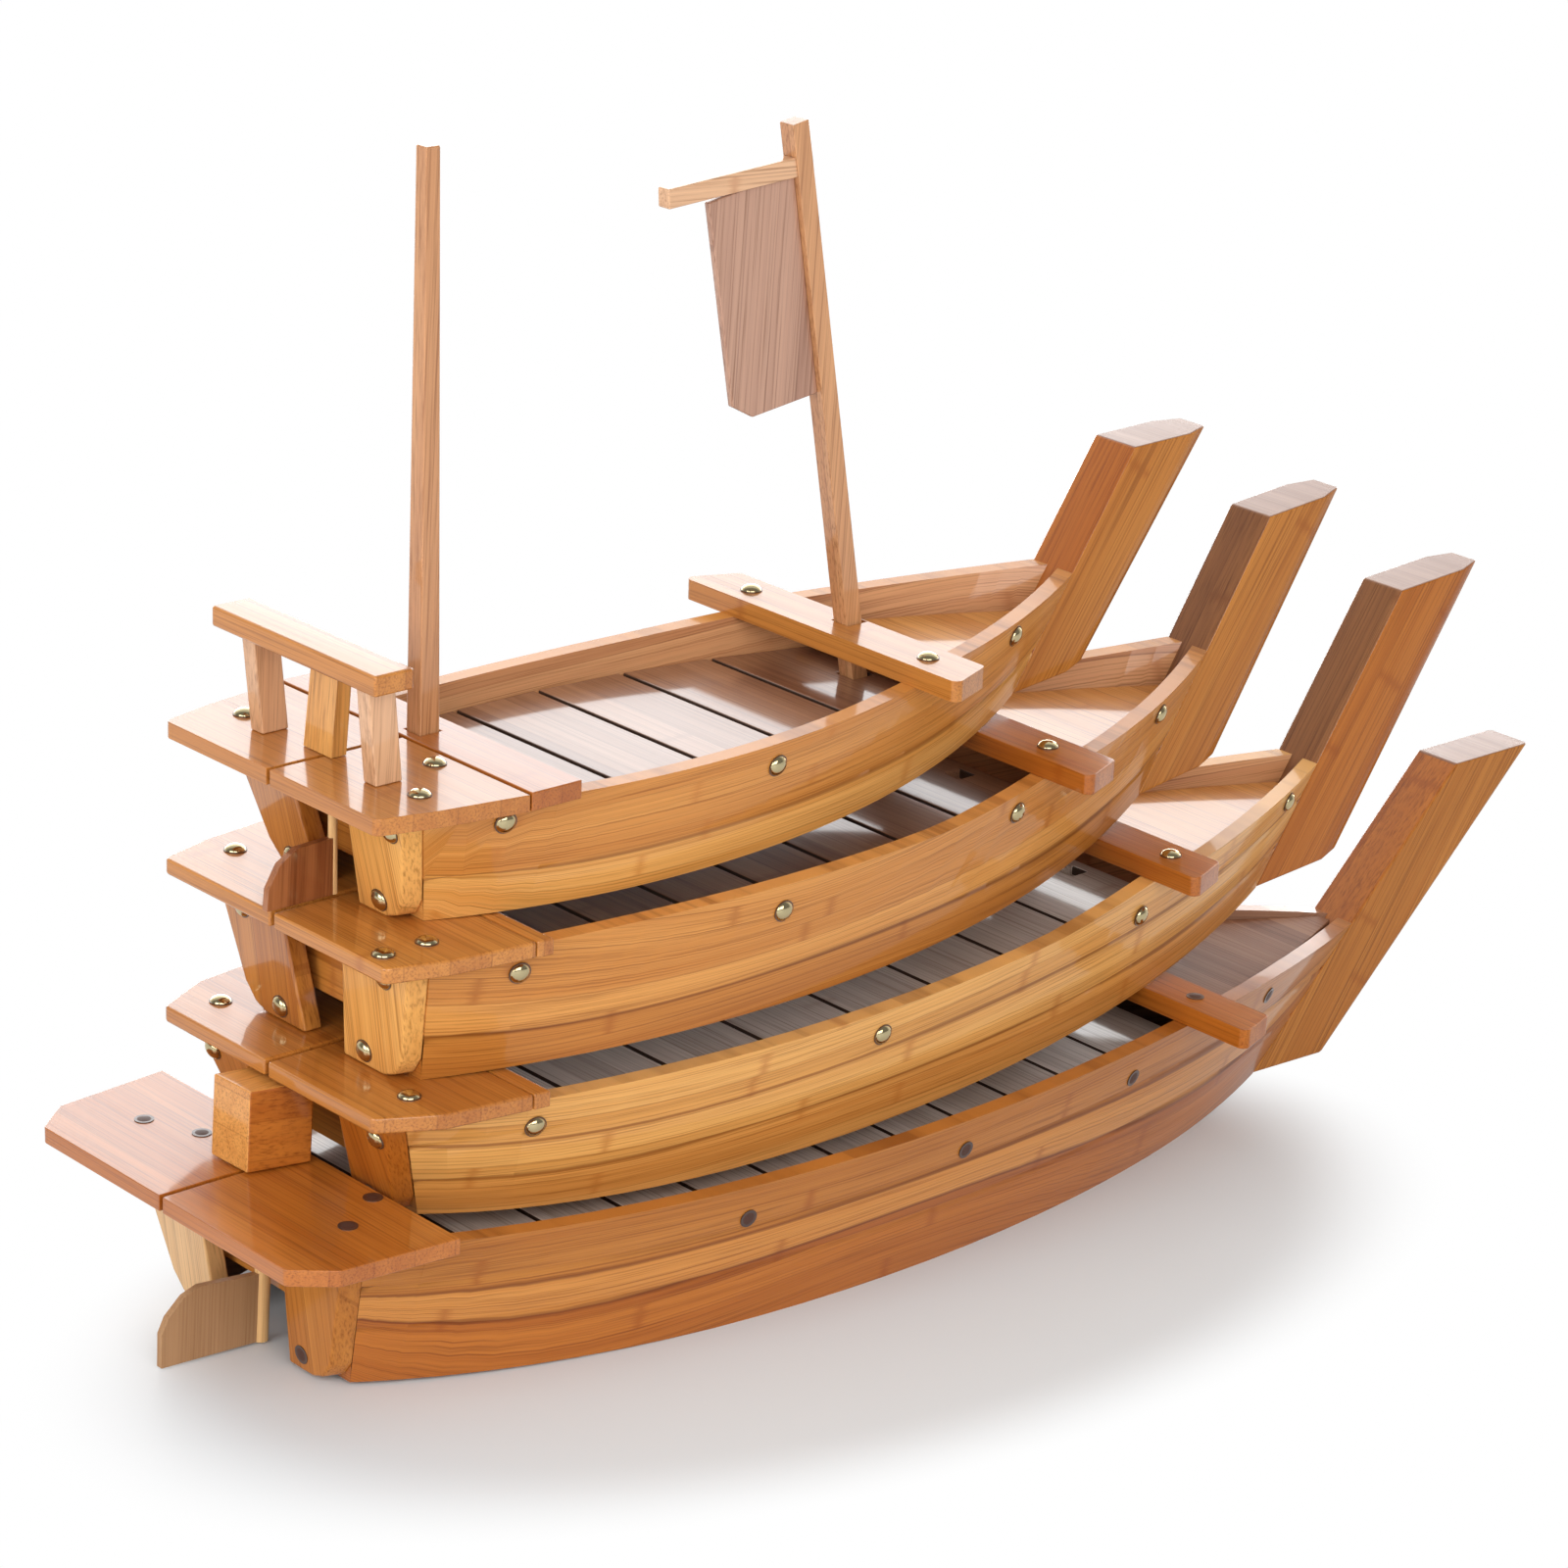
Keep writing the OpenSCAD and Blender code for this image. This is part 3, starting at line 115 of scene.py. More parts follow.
class Tree:
    """Short names for building one node tree."""

    def __init__(self, tree):
        self.tree = tree
        self.tree.nodes.clear()

    def add(self, kind, inputs=(), **attrs):
        """A new node with its settings, and its inputs linked or set."""
        n = self.tree.nodes.new(kind)
        for k, v in attrs.items():
            setattr(n, k, v)
        for key, v in dict(inputs).items():
            self.put(n.inputs[key], v)
        return n

    def put(self, socket, v):
        if isinstance(v, bpy.types.NodeSocket):
            self.tree.links.new(v, socket)
        else:
            socket.default_value = v

    def math(self, op, a, b=0.0, c=0.0):
        return self.add("ShaderNodeMath", {0: a, 1: b, 2: c}, operation=op).outputs[0]

    def ramp(self, fac, stops, step=False):
        """A colour ramp. A stop is a place with a colour or a grey."""
        n = self.add("ShaderNodeValToRGB", {0: fac})
        r = n.color_ramp
        r.interpolation = "CONSTANT" if step else "LINEAR"
        while len(r.elements) < len(stops):
            r.elements.new(0.5)
        for e, (pos, col) in zip(r.elements, stops):
            e.position = pos
            e.color = (*(col if isinstance(col, tuple) else (col,) * 3), 1)
        return n.outputs[0]

    def blend(self, fac, a, b):
        """A number between a and b, which are inputs 2 and 3 of the node."""
        return self.add("ShaderNodeMix", {0: fac, 2: a, 3: b}).outputs[0]

    def mix(self, fac, a, b, mode="MIX"):
        """A colour between a and b, which are inputs 6 and 7 of the node."""
        n = self.add("ShaderNodeMix", {0: fac}, data_type="RGBA", blend_type=mode)
        for k, v in ((6, a), (7, b)):
            self.put(n.inputs[k], (*v, 1) if isinstance(v, tuple) else v)
        return n.outputs[2]

    def near(self, value, place):
        """Distance of a value from a place."""
        return self.math("ABSOLUTE", self.math("SUBTRACT", value, place))


def material(name, build, *args, **options):
    """A new material whose surface is the shader that build makes in its tree."""
    mat = bpy.data.materials.new(name)
    mat.use_nodes = True
    w = Tree(mat.node_tree)
    shader = build(w, *args, **options)
    w.add("ShaderNodeOutputMaterial", {"Surface": shader.outputs[0]})
    return mat


def shade(colour, by):
    """A colour times one factor, or times one for each channel."""
    factors = by if isinstance(by, tuple) else (by,) * 3
    return tuple(c * k for c, k in zip(colour, factors))


# %% Tones of the boards
# light and dark end of each tone, in linear colour
TONES = {
    "pale": ((0.80, 0.50, 0.225), (0.64, 0.34, 0.115)),
    "honey": ((0.77, 0.395, 0.115), (0.62, 0.265, 0.056)),
    "warm": ((0.69, 0.310, 0.076), (0.53, 0.198, 0.038)),
    "amber": ((0.53, 0.205, 0.038), (0.38, 0.120, 0.017)),
    "orange": ((0.48, 0.152, 0.020), (0.34, 0.086, 0.008)),
    "brown": ((0.30, 0.120, 0.038), (0.20, 0.070, 0.020)),
    "rosy": ((0.60, 0.300, 0.135), (0.45, 0.190, 0.080)),
    "red": ((0.36, 0.130, 0.045), (0.22, 0.066, 0.020)),
    "dusky": ((0.48, 0.270, 0.185), (0.35, 0.175, 0.115)),
    "straw": ((0.42, 0.235, 0.115), (0.30, 0.150, 0.062)),
    "walnut": ((0.34, 0.160, 0.085), (0.20, 0.080, 0.040)),
    # two pale tones for the nested slats of the base and large boats: painted sheen that stands
    # in for the white reflections on them, not the colour of the bamboo
    "veiled": ((0.78, 0.650, 0.560), (0.62, 0.490, 0.400)),
    "hazed": ((0.68, 0.540, 0.450), (0.52, 0.390, 0.310)),
    "blush": ((0.72, 0.430, 0.250), (0.58, 0.310, 0.160)),
}
print("tones:", ", ".join(TONES))

# %% Strips, fibres and node marks
# width of a strip, distance of its node marks, and half the width of a glue line, in metres
STRIP = 0.02
NODE_EVERY = 0.19
GLUE_HALF = 0.0004
GLUE_DARK = 0.30
# scale per metre along the strip and across it, detail and roughness of the noise
FINE_FIBRES = ((9.0, 900.0, 900.0), 4.0, 0.62)
BROAD_FIBRES = ((3.0, 130.0, 130.0), 3.0, 0.55)
# how far one step of the seed moves the pattern, and how many rows on it takes the strips
SEED_MOVES = (1.37, 0.71, 0.53)
SEED_ROWS = 7.3
# a strip's random value times these gives the place of its nodes and a second random value
NODE_SHIFT = 13.7
SECOND_LOT = 37.0
# share of the strips without a node mark, and how far the fibres pull a mark's edge about
UNMARKED = 0.35
RAGGED = 0.12
MARK_RAMP = [(0.0, 1.0), (0.008, 0.8), (0.028, 0.0)]
COMB_RAMP = [(0.38, 0.15), (0.6, 1.0)]


def strips(w, stack, width, seed):
    """The random value of each strip, and the thin glue line between two strips."""
    row = w.math("DIVIDE", stack, width)
    number = w.math("ADD", w.math("FLOOR", row), seed * SEED_ROWS)
    lot = w.add("ShaderNodeTexWhiteNoise", {"W": number}, noise_dimensions="1D")
    edge = w.near(w.math("FRACT", row), 0.5)
    line = w.math("GREATER_THAN", edge, 0.5 - GLUE_HALF / width)
    return lot.outputs["Value"], w.math("MULTIPLY", line, GLUE_DARK)


def fibres(w, place, scale, detail, roughness):
    """Noise stretched along the strips."""
    drawn = w.add("ShaderNodeMapping", {"Vector": place, "Scale": scale}).outputs[0]
    return w.add("ShaderNodeTexNoise", {"Vector": drawn, "Scale": 1.0, "Detail": detail,
                                        "Roughness": roughness}).outputs[0]


def node_marks(w, along, lot, fine):
    """A short ragged band across most strips where the culm had its joint."""
    shifted = w.math("ADD", w.math("DIVIDE", along, NODE_EVERY),
                     w.math("MULTIPLY", lot, NODE_SHIFT))
    near = w.near(w.math("FRACT", shifted), 0.5)
    ragged = w.math("MULTIPLY", w.math("SUBTRACT", fine, 0.5), RAGGED)
    band = w.ramp(w.math("ADD", near, ragged), MARK_RAMP)
    second_lot = w.math("FRACT", w.math("MULTIPLY", lot, SECOND_LOT))
    marked = w.math("GREATER_THAN", second_lot, UNMARKED)
    return w.math("MULTIPLY", w.math("MULTIPLY", band, marked), w.ramp(fine, COMB_RAMP))


# %% Bamboo board
# darkening of the glue lines between strips, also used for the painted shadow along the plank
# grooves
GLUE_AND_GROOVE_SHADOW = (0.42, 0.32, 0.25)
MARK_SHADE = (0.80, 0.62, 0.48)
MARK_STRENGTH = 0.75
# how a strip's random value and the broad fibres take the tone from its light to its dark end
LOT_SPREAD = 0.8
BROAD_SPREAD = 1.3
BROAD_SHIFT = -0.6
STREAK_RAMP = [(0.32, (0.52, 0.42, 0.32)), (0.50, 1.0), (0.68, (1.12, 1.11, 1.08))]
GROOVE_SHADOW_RAMP = [(0.0, 0.75), (0.010, 0.6), (0.024, 0.0)]
ROUGH_SPREAD = 0.2
SHINE = 0.22


def board(w, tone, strip=STRIP, turn=(0, 0, 0), seed=0.0, contrast=0.80, rough=0.24, coat=1.0,
          shine=SHINE, across="Z", surface=None, bands=(), seams=()):
    """Lacquered bamboo. Fibres run along X after the turn, strips stack along 'across'.

    surface: height of the board in metres where the pattern follows its own map, which holds
    the length in metres and the share of the height. bands: share where each upper board
    starts, with its tone. seams: shares where a groove's shadow line runs."""
    moved = shade(SEED_MOVES, seed)
    if surface:
        co = w.add("ShaderNodeUVMap", uv_map="board").outputs[0]
        share = w.add("ShaderNodeSeparateXYZ", {0: co}).outputs["Y"]
        p = w.add("ShaderNodeMapping", {"Vector": co, "Scale": (1.0, surface, 1.0),
                                        "Location": (*moved[:2], 0)}).outputs[0]
        across = "Y"
    else:
        co = w.add("ShaderNodeTexCoord").outputs["Object"]
        p = w.add("ShaderNodeMapping", {"Vector": co, "Rotation": turn,
                                        "Location": moved}).outputs[0]
    xyz = w.add("ShaderNodeSeparateXYZ", {0: p}).outputs
    lot, glue = strips(w, xyz[across], strip, seed)
    fine = fibres(w, p, *FINE_FIBRES)
    broad = fibres(w, p, *BROAD_FIBRES)
    light, dark = TONES[tone]
    glue_and_groove_shadow, mark = shade(dark, GLUE_AND_GROOVE_SHADOW), shade(dark, MARK_SHADE)
    if bands:
        pairs = [(0.0, tone)] + list(bands)
        light, dark = (w.ramp(share, [(s, TONES[k][end]) for s, k in pairs], step=True)
                       for end in (0, 1))
    level = w.math("MULTIPLY_ADD", lot, LOT_SPREAD,
                   w.math("MULTIPLY_ADD", broad, BROAD_SPREAD, BROAD_SHIFT))
    base = w.mix(level, light, dark)
    streaky = w.mix(1.0, base, w.ramp(fine, STREAK_RAMP), "MULTIPLY")
    base = w.mix(contrast, base, streaky)
    marks = w.math("MULTIPLY", node_marks(w, xyz["X"], lot, fine), MARK_STRENGTH)
    base = w.mix(glue, w.mix(marks, base, mark), glue_and_groove_shadow)
    # a painted shadow line darkens the board along each groove, where shade falls in the crease
    for s in seams:
        base = w.mix(w.ramp(w.near(share, s), GROOVE_SHADOW_RAMP), base, glue_and_groove_shadow)
    bump = w.add("ShaderNodeBump", {"Strength": 0.10, "Distance": 0.0003, "Height": w.math(
        "SUBTRACT", w.math("ADD", fine, broad), glue)})
    return w.add("ShaderNodeBsdfPrincipled", {
        "Base Color": base, "Roughness": w.math("MULTIPLY_ADD", broad, ROUGH_SPREAD, rough),
        "IOR": 1.5, "Specular IOR Level": shine, "Coat Weight": coat, "Coat Roughness": 0.08,
        "Normal": bump.outputs[0]})


def bamboo(name, tone, **options):
    """A finish of bamboo board."""
    return material(name, board, tone, **options)


# %% [markdown]
# ## Brass and stained pegs
# The nails are brass with a polished dome, and a dark ring round each that is painted shade at
# the dome's edge. The base boat has pegs of dark wood instead, cut nearly flush.

# %% Nail and peg finishes
SCRATCH_SHADE = 0.84
WORN_SHADE = 0.45
WORN_STRENGTH = 0.30
METAL_ROUGH = 0.08
METAL_SPREAD = 0.12
STAIN_SHADES = (0.6, 1.35)


def metal(w, colour):
    """Polished metal with fine scratches and worn spots."""
    co = w.add("ShaderNodeTexCoord").outputs["Object"]
    n = w.add("ShaderNodeTexNoise", {"Vector": co, "Scale": 900.0, "Detail": 3.0}).outputs[0]
    wear = w.add("ShaderNodeTexNoise", {"Vector": co, "Scale": 210.0, "Detail": 2.0}).outputs[0]
    col = w.mix(n, shade(colour, SCRATCH_SHADE), colour)
    col = w.mix(w.math("MULTIPLY", wear, WORN_STRENGTH), col, shade(colour, WORN_SHADE))
    bump = w.add("ShaderNodeBump", {"Strength": 0.06, "Distance": 0.0002, "Height": n})
    return w.add("ShaderNodeBsdfPrincipled", {
        "Base Color": col, "Metallic": 1.0, "Normal": bump.outputs[0],
        "Roughness": w.math("MULTIPLY_ADD", n, METAL_SPREAD, METAL_ROUGH)})


def dark_stain_and_shade(w, colour, rough, coat=0.8):
    """Dark stained wood for the pegs, also used for painted shade round the nails and in the
    slat gaps.
    """
    co = w.add("ShaderNodeTexCoord").outputs["Object"]
    n = w.add("ShaderNodeTexNoise", {"Vector": co, "Scale": 650.0, "Detail": 4.0}).outputs[0]
    col = w.mix(n, *(shade(colour, k) for k in STAIN_SHADES))
    bump = w.add("ShaderNodeBump", {"Strength": 0.15, "Distance": 0.0002, "Height": n})
    return w.add("ShaderNodeBsdfPrincipled", {
        "Base Color": col, "Roughness": w.math("MULTIPLY_ADD", n, ROUGH_SPREAD, rough),
        "Coat Weight": coat, "Coat Roughness": 0.1, "Normal": bump.outputs[0]})


brass = material("brass_nails", metal, (0.68, 0.56, 0.32))
# the dark rim round each nail is painted shade at the edge of the dome
nail_rim_painted_shade = material("nail_rim_painted_shade", dark_stain_and_shade, (0.085, 0.035, 0.014), 0.35)
peg_wood = material("peg_wood", dark_stain_and_shade, (0.070, 0.022, 0.011), 0.55, coat=0.1)
peg_edge = material("peg_edge", dark_stain_and_shade, (0.050, 0.018, 0.010), 0.35)
print("finishes of the heads:", brass.name, nail_rim_painted_shade.name, peg_wood.name, peg_edge.name)

# %% [markdown]
# ## Which way the fibres run
# Planks, rails and posts have their fibres along the hull or along the post; decks, thwarts,
# slats and battens have theirs across the boat. A turn about Z by a right angle puts a board's
# breadth on the pattern's X, and a turn about Y tips it up for posts and masts. The side planks
# bend, so their pattern follows a map of the plank instead: each is glued up from two or three
# boards that meet at its grooves.

# %% Finish of every board
BOATS = ("base", "large", "medium", "small")
ALONG = (0, -PITCH, 0)
ACROSS = (0, 0, math.radians(90))
UP = (0, math.radians(90), 0)
POST = (0, math.radians(58), 0)
# how far each transom leans, so that its fibres follow the board
RAKES = {boat: (0, math.radians(a), 0) for boat, a in zip(BOATS, (100.6, 112.0, 100.2, 106.0))}
# tones in the base, large, medium and small boat; turn, width of strips, stacking
BOARDS = {
    "transom_boards": ("amber orange honey honey", RAKES, 0.03, "Y"),
    "cross_beam": ("amber amber amber amber", ACROSS, 0.02, "Z"),
    # the slats of the base and large boats take the two pale tones of painted sheen
    "floor_slats": ("veiled hazed walnut walnut", ACROSS, 0.021, "Y"),
    "floor_rails": ("amber amber amber amber", ALONG, 0.02, "Z"),
    "bow_deck": ("walnut warm warm warm", ACROSS, 0.02, "Y"),
    "stem_post": ("amber orange amber amber", POST, 0.023, "Z"),
    "stern_deck": ("orange amber amber amber", ACROSS, 0.022, "Y"),
    "deck_batten": ("amber amber amber orange", ACROSS, 0.02, "Y"),
    "thwart": ("orange orange orange amber", ACROSS, 0.015, "Y"),
}
# weight of the clear coat on the duller boards
POLISH = {"stem_post": 0.35, "transom_boards": 0.35, "thwart": 0.8, "base_bow_deck": 0.05,
          "base_thwart": 0.4}
# lowest board's tone, then the share of the height where each next board starts and its tone
PLANKS = {
    "base": ("orange", ((0.4, "warm"), (0.7, "amber"))),
    "large": ("warm", ((0.33, "honey"), (0.7, "honey"))),
    "medium": ("amber", ((0.33, "warm"),)),
    "small": ("honey", ((0.36, "warm"),)),
}
PLANK_STRIP = 0.0155
PLANK_HEIGHT = 0.07
OTHERS = {
    "small_roof_plank": ("amber", ACROSS, "Y"),
    "small_roof_legs": ("blush", UP, "Y"),
    "small_stern_mast": ("rosy", UP, "Y"),
    "small_flag_mast": ("rosy", UP, "Y"),
    "small_yard": ("blush", (0, 0, 0), "Z"),
    "small_sail": ("dusky", UP, "Z"),
    "small_rudder_board": ("red", UP, "Z"),
    "small_rudder_block": ("honey", UP, "Y"),
    "base_rudder_block": ("warm", (0, 0, 0), "Z"),
}
# thin plywood and sticks: one strip is wider than the piece, and there is hardly any lacquer
PLAIN = {"base_rudder_board": "straw", "base_rudder_stick": "pale", "small_rudder_stick": "pale"}
ONE_PIECE = 0.4
# a start for the seeds of each kind and the steps from board to board, which only have to differ
BOARD_SEED, BOAT_STEP, BOARD_STEP = 1.0, 3.1, 0.83
PLANK_SEED, PLANK_STEP, SIDE_STEP = 2.0, 2.3, 0.7
OTHER_SEED, OTHER_STEP = 20.0, 1.7
PLAIN_SEED = 14.0


def board_finishes():
    """A finish for each node that is made of boards."""
    found = {}
    for kind, (tones, turn, strip, across) in BOARDS.items():
        for i, (boat, tone) in enumerate(zip(BOATS, tones.split())):
            name = boat + "_" + kind
            coat = POLISH.get(name, POLISH.get(kind, 1.0))
            if name in nodes:
                found[name] = bamboo("bamboo_" + name, tone, strip=strip, across=across,
                                     turn=turn[boat] if turn is RAKES else turn,
                                     coat=coat, shine=SHINE * coat,
                                     seed=BOARD_SEED + i * BOAT_STEP + len(found) * BOARD_STEP)
    for i, (boat, (low, bands)) in enumerate(PLANKS.items()):
        for k, side in enumerate(("starboard", "port")):
            name = boat + "_" + side + "_plank"
            found[name] = bamboo("bamboo_" + name, low, strip=PLANK_STRIP, surface=PLANK_HEIGHT,
                                 bands=bands, seams=[share for share, tone in bands],
                                 rough=0.30, coat=0.45, shine=0.15,
                                 seed=PLANK_SEED + i * PLANK_STEP + k * SIDE_STEP)
    for i, (name, (tone, turn, across)) in enumerate(OTHERS.items()):
        found[name] = bamboo("bamboo_" + name, tone, turn=turn, across=across,
                             seed=OTHER_SEED + i * OTHER_STEP)
    for name, tone in PLAIN.items():
        found[name] = bamboo("plain_" + name, tone, strip=ONE_PIECE, seed=PLAIN_SEED,
                             rough=0.42, coat=0.1, contrast=0.45, turn=UP)
    return found


finish = board_finishes()
print("finishes:", len(finish), "without one:", sorted(set(nodes) - set(finish)))

# %% [markdown]
# ## Boards with more than one finish
# Some faces of a board get a finish of their own. The port halves of the transoms differ in
# tone.
# The others carry painted light: the aft faces of the posts and one side of the base rudder's
# block are painted darker as shade, the tops of the posts and the insides of the planks take
# tones for painted sheen, the base boat's insides are painted darker as shade, and the long
# edges of the slats are painted dark as the shade in the gaps between them. A test on each face
# picks its finish.

# %% Finishes of single faces
# least part of a face's direction that has to point a certain way
FACING = 0.5
SQUARELY = 0.8


def for_each_boat(label, tones, turns, seed, **options):
    """One finish for each boat. Its tones and turns are in the order of the boats."""
    rows = zip(BOATS, tones.split(), turns)
    return {boat: bamboo(label + boat, tone, turn=turn, seed=seed + i, **options)
            for i, (boat, tone, turn) in enumerate(rows)}


# the aft faces of the posts are a darker tone than their sides: painted shade
aft_face_painted_shade = for_each_boat("bamboo_aft_face_painted_shade_", "orange brown brown orange",
                          [POST] * len(BOATS), seed=31.0, strip=0.03, across="Y")
# the tops of the posts take a darker, plainer tone than their sides, so that with the coat they
# show a grey sheen: painted sheen, not a colour of the wood
post_end_painted_sheen = bamboo("bamboo_post_end_painted_sheen", "walnut", strip=ONE_PIECE, turn=ACROSS, seed=48.0,
                  contrast=0.4, coat=0.4)
port_board = for_each_boat("bamboo_port_board_", "pale amber amber amber", RAKES.values(),
                           seed=36.0, strip=0.03, across="Y")
# the inner faces of the planks: a paler tone in the small, medium and large boats is painted
# sheen, and the darker walnut in the base boat is painted shade under the large boat
plank_inner_painted_light = for_each_boat("bamboo_plank_inner_painted_light_", "walnut rosy rosy rosy", [ALONG] * len(BOATS),
                       seed=41.0, strip=PLANK_STRIP, surface=PLANK_HEIGHT, rough=0.3, coat=0.7)
# the starboard face of the base rudder's block is a darker tone than its aft face: painted shade
rudder_block_painted_shade = bamboo("bamboo_rudder_block_painted_shade", "orange", seed=46.0, coat=0.4)
# the long edges of the slats are painted nearly black: painted shade in the gaps between them
slat_gap_painted_shade = material("slat_gap_painted_shade", dark_stain_and_shade, (0.050, 0.020, 0.009), 0.5)


def post_face(face):
    """The aft face of a post is the second finish, painted darker as shade, and its top the
    third, a tone for painted sheen.
    """
    return 2 if face.normal.z > SQUARELY else int(face.normal.x < -FACING)


def port_face(face):
    """The port board of a transom differs from the starboard one."""
    return int(face.center.y > 0)


def inner_face(face):
    """A plank's inner face looks towards the middle of the boat."""
    return int(face.normal.y * math.copysign(1.0, face.center.y) < -FACING)


def block_face(face):
    """The starboard face of the base rudder's block, painted darker as shade."""
    return int(face.normal.y < -FACING)


def slat_face(face):
    """The long edges of a slat, painted dark as the shade in the gaps between slats."""
    return int(abs(face.normal.x) > SQUARELY)


def face_finishes(name):
    """The further finishes of a board, and the test that picks one for each face."""
    boat, kind = name.split("_", 1)
    if name == "base_rudder_block":
        return [rudder_block_painted_shade], block_face
    return {"stem_post": ([aft_face_painted_shade[boat], post_end_painted_sheen], post_face),
            "transom_boards": ([port_board[boat]], port_face),
            "floor_slats": ([slat_gap_painted_shade], slat_face),
            "port_plank": ([plank_inner_painted_light[boat]], inner_face),
            "starboard_plank": ([plank_inner_painted_light[boat]], inner_face)}.get(kind, ([], None))


# %% [markdown]
# ## A map of the bent planks
# The fibres of a side plank run along its curve. Its upper and lower edges are fitted with two
# smooth curves over the length, and each point's place between them becomes the height of the
# map. So the strips and the tones of the glued boards stay parallel to the grooves.

# %% Map a plank
EDGE_SLICES = 39
FEW_CORNERS = 3
EDGE_DEGREE = 4
LEAST_HEIGHT = 0.01


def plank_map(mesh, name):
    """Maps a plank by its length in metres and its share of the height."""
    co = np.array([v.co[:] for v in nodes[name].data.vertices])
    cuts = np.linspace(co[:, 0].min(), co[:, 0].max(), EDGE_SLICES + 1)
    mid, low, high = [], [], []
    for a, b in zip(cuts[:-1], cuts[1:]):
        part = co[(co[:, 0] >= a) & (co[:, 0] < b)]
        if len(part) > FEW_CORNERS:
            mid.append(part[:, 0].mean())
            low.append(part[:, 2].min())
            high.append(part[:, 2].max())
    foot = np.polyfit(mid[1:-1], low[1:-1], EDGE_DEGREE)
    top = np.polyfit(mid[1:-1], high[1:-1], EDGE_DEGREE)
    layer = mesh.uv_layers.new(name="board")
    for loop in mesh.loops:
        v = mesh.vertices[loop.vertex_index].co
        z0, z1 = np.polyval(foot, v.x), np.polyval(top, v.x)
        layer.data[loop.index].uv = (v.x, (v.z - z0) / max(z1 - z0, LEAST_HEIGHT))


# %% [markdown]
# ## Softened edges
# The real boards are sanded, so every edge catches a thin line of light. Most boards are copied
# from their solids, their double corners are merged, and a small bevel rounds their edges; the
# few with no width in the list are shown as the solids themselves. The planks keep their own
# edges, so that their grooves stay whole. Copies ride on the same body as the solid that they
# stand for.

# %% Round the boards
# width of each bevel in metres, or None for a plank
ROUNDED = {
    "stem_post": 0.0012, "thwart": 0.0016, "stern_deck": 0.0014, "floor_slats": 0.0008,
    "deck_batten": 0.001, "transom_boards": 0.0014, "bow_deck": 0.0006,
    "small_roof_plank": 0.0014, "small_roof_legs": 0.001, "small_stern_mast": 0.0007,
    "small_flag_mast": 0.0007, "small_yard": 0.0008, "small_sail": 0.0008,
    "small_rudder_board": 0.0008, "small_rudder_block": 0.0014, "base_rudder_block": 0.0022,
    "base_rudder_board": 0.0008, "port_plank": None, "starboard_plank": None,
}
MERGE = 1e-6
SAME_FACE = math.radians(0.5)
BEVEL_FROM = math.radians(28)
BEVEL_STEPS = 2
PLANK_EDGE = math.radians(24)
# normals at a corner follow the larger faces as far as they can
BY_AREA = 100
# a mast's copy stands this far above the floor of its socket, so the two never touch
MAST_LIFT = 2e-5


def bevel_width(name):
    """Width of the bevel, None for a plank, or 0 where the solid itself is shown."""
    return ROUNDED.get(name, ROUNDED.get(name.split("_", 1)[1], 0))


def merged_mesh(name, flatten):
    """The solid's mesh with its double corners merged, and if asked its flat faces whole."""
    mesh = nodes[name].data.copy()
    bm = bmesh.new()
    bm.from_mesh(mesh)
    bmesh.ops.remove_doubles(bm, verts=bm.verts, dist=MERGE)
    if flatten:
        bmesh.ops.dissolve_limit(bm, angle_limit=SAME_FACE, verts=bm.verts, edges=bm.edges)
    bm.to_mesh(mesh)
    bm.free()
    return mesh


def apply_modifiers(obj):
    """Turns the object's modifiers into its mesh."""
    bpy.context.view_layer.update()
    done = bpy.data.meshes.new_from_object(
        obj.evaluated_get(bpy.context.evaluated_depsgraph_get()))
    obj.modifiers.clear()
    obj.data = done


def rounded_copy(name, width):
    """A copy of a solid with softened edges."""
    mesh = merged_mesh(name, flatten=bool(width))
    mesh.materials.clear()
    mesh.materials.append(finish[name])
    obj = in_scene(name + ".board", mesh)
    for f in mesh.polygons:
        f.use_smooth = True
    if width:
        bevel = obj.modifiers.new("edges", "BEVEL")
        bevel.width = width
        bevel.segments = BEVEL_STEPS
        bevel.limit_method = "ANGLE"
        bevel.angle_limit = BEVEL_FROM
        bevel.use_clamp_overlap = True
    else:
        mesh.set_sharp_from_angle(angle=PLANK_EDGE)
    # large faces stay flat in the light, and only the small bevels shade round
    even = obj.modifiers.new("even", "WEIGHTED_NORMAL")
    even.weight = BY_AREA
    even.keep_sharp = True
    apply_modifiers(obj)
    if name.endswith("_mast"):
        for v in obj.data.vertices:
            v.co.z += MAST_LIFT
    return obj


# %% Let the copies stand for the solids
body_of = {n: b for b, ns in frame["record"]["behaviour"]["bodies"].items() for n in ns}


def stand_for(obj, name):
    """The object rides with a node's body and takes the node's place."""
    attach(obj, body_of[name])
    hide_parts(name)


def dress(name):
    """Shows a node's board: a rounded copy, or the solid itself. Tells whether it's a copy."""
    width = bevel_width(name)
    if width == 0:
        nodes[name].data.materials.clear()
        nodes[name].data.materials.append(finish[name])
        return False
    copy = rounded_copy(name, width)
    if width is None:
        plank_map(copy.data, name)
    more, pick = face_finishes(name)
    for finish_of_faces in more:
        copy.data.materials.append(finish_of_faces)
    if pick:
        for face in copy.data.polygons:
            face.material_index = pick(face)
    stand_for(copy, name)
    return True


copies = 0
for name in sorted(finish):
    copies += dress(name)
print("rounded boards:", copies, "of", len(finish))

# %% [markdown]
# ## Nails and pegs
# The heads repeat, so one Geometry Nodes tree makes them all: a point for every head carries
# the direction in which the head looks, a dome and a thin rim stand on each point, and the
# tree ends as a real mesh with two finishes. The points come from the solids of the heads.

# %% Where the heads are


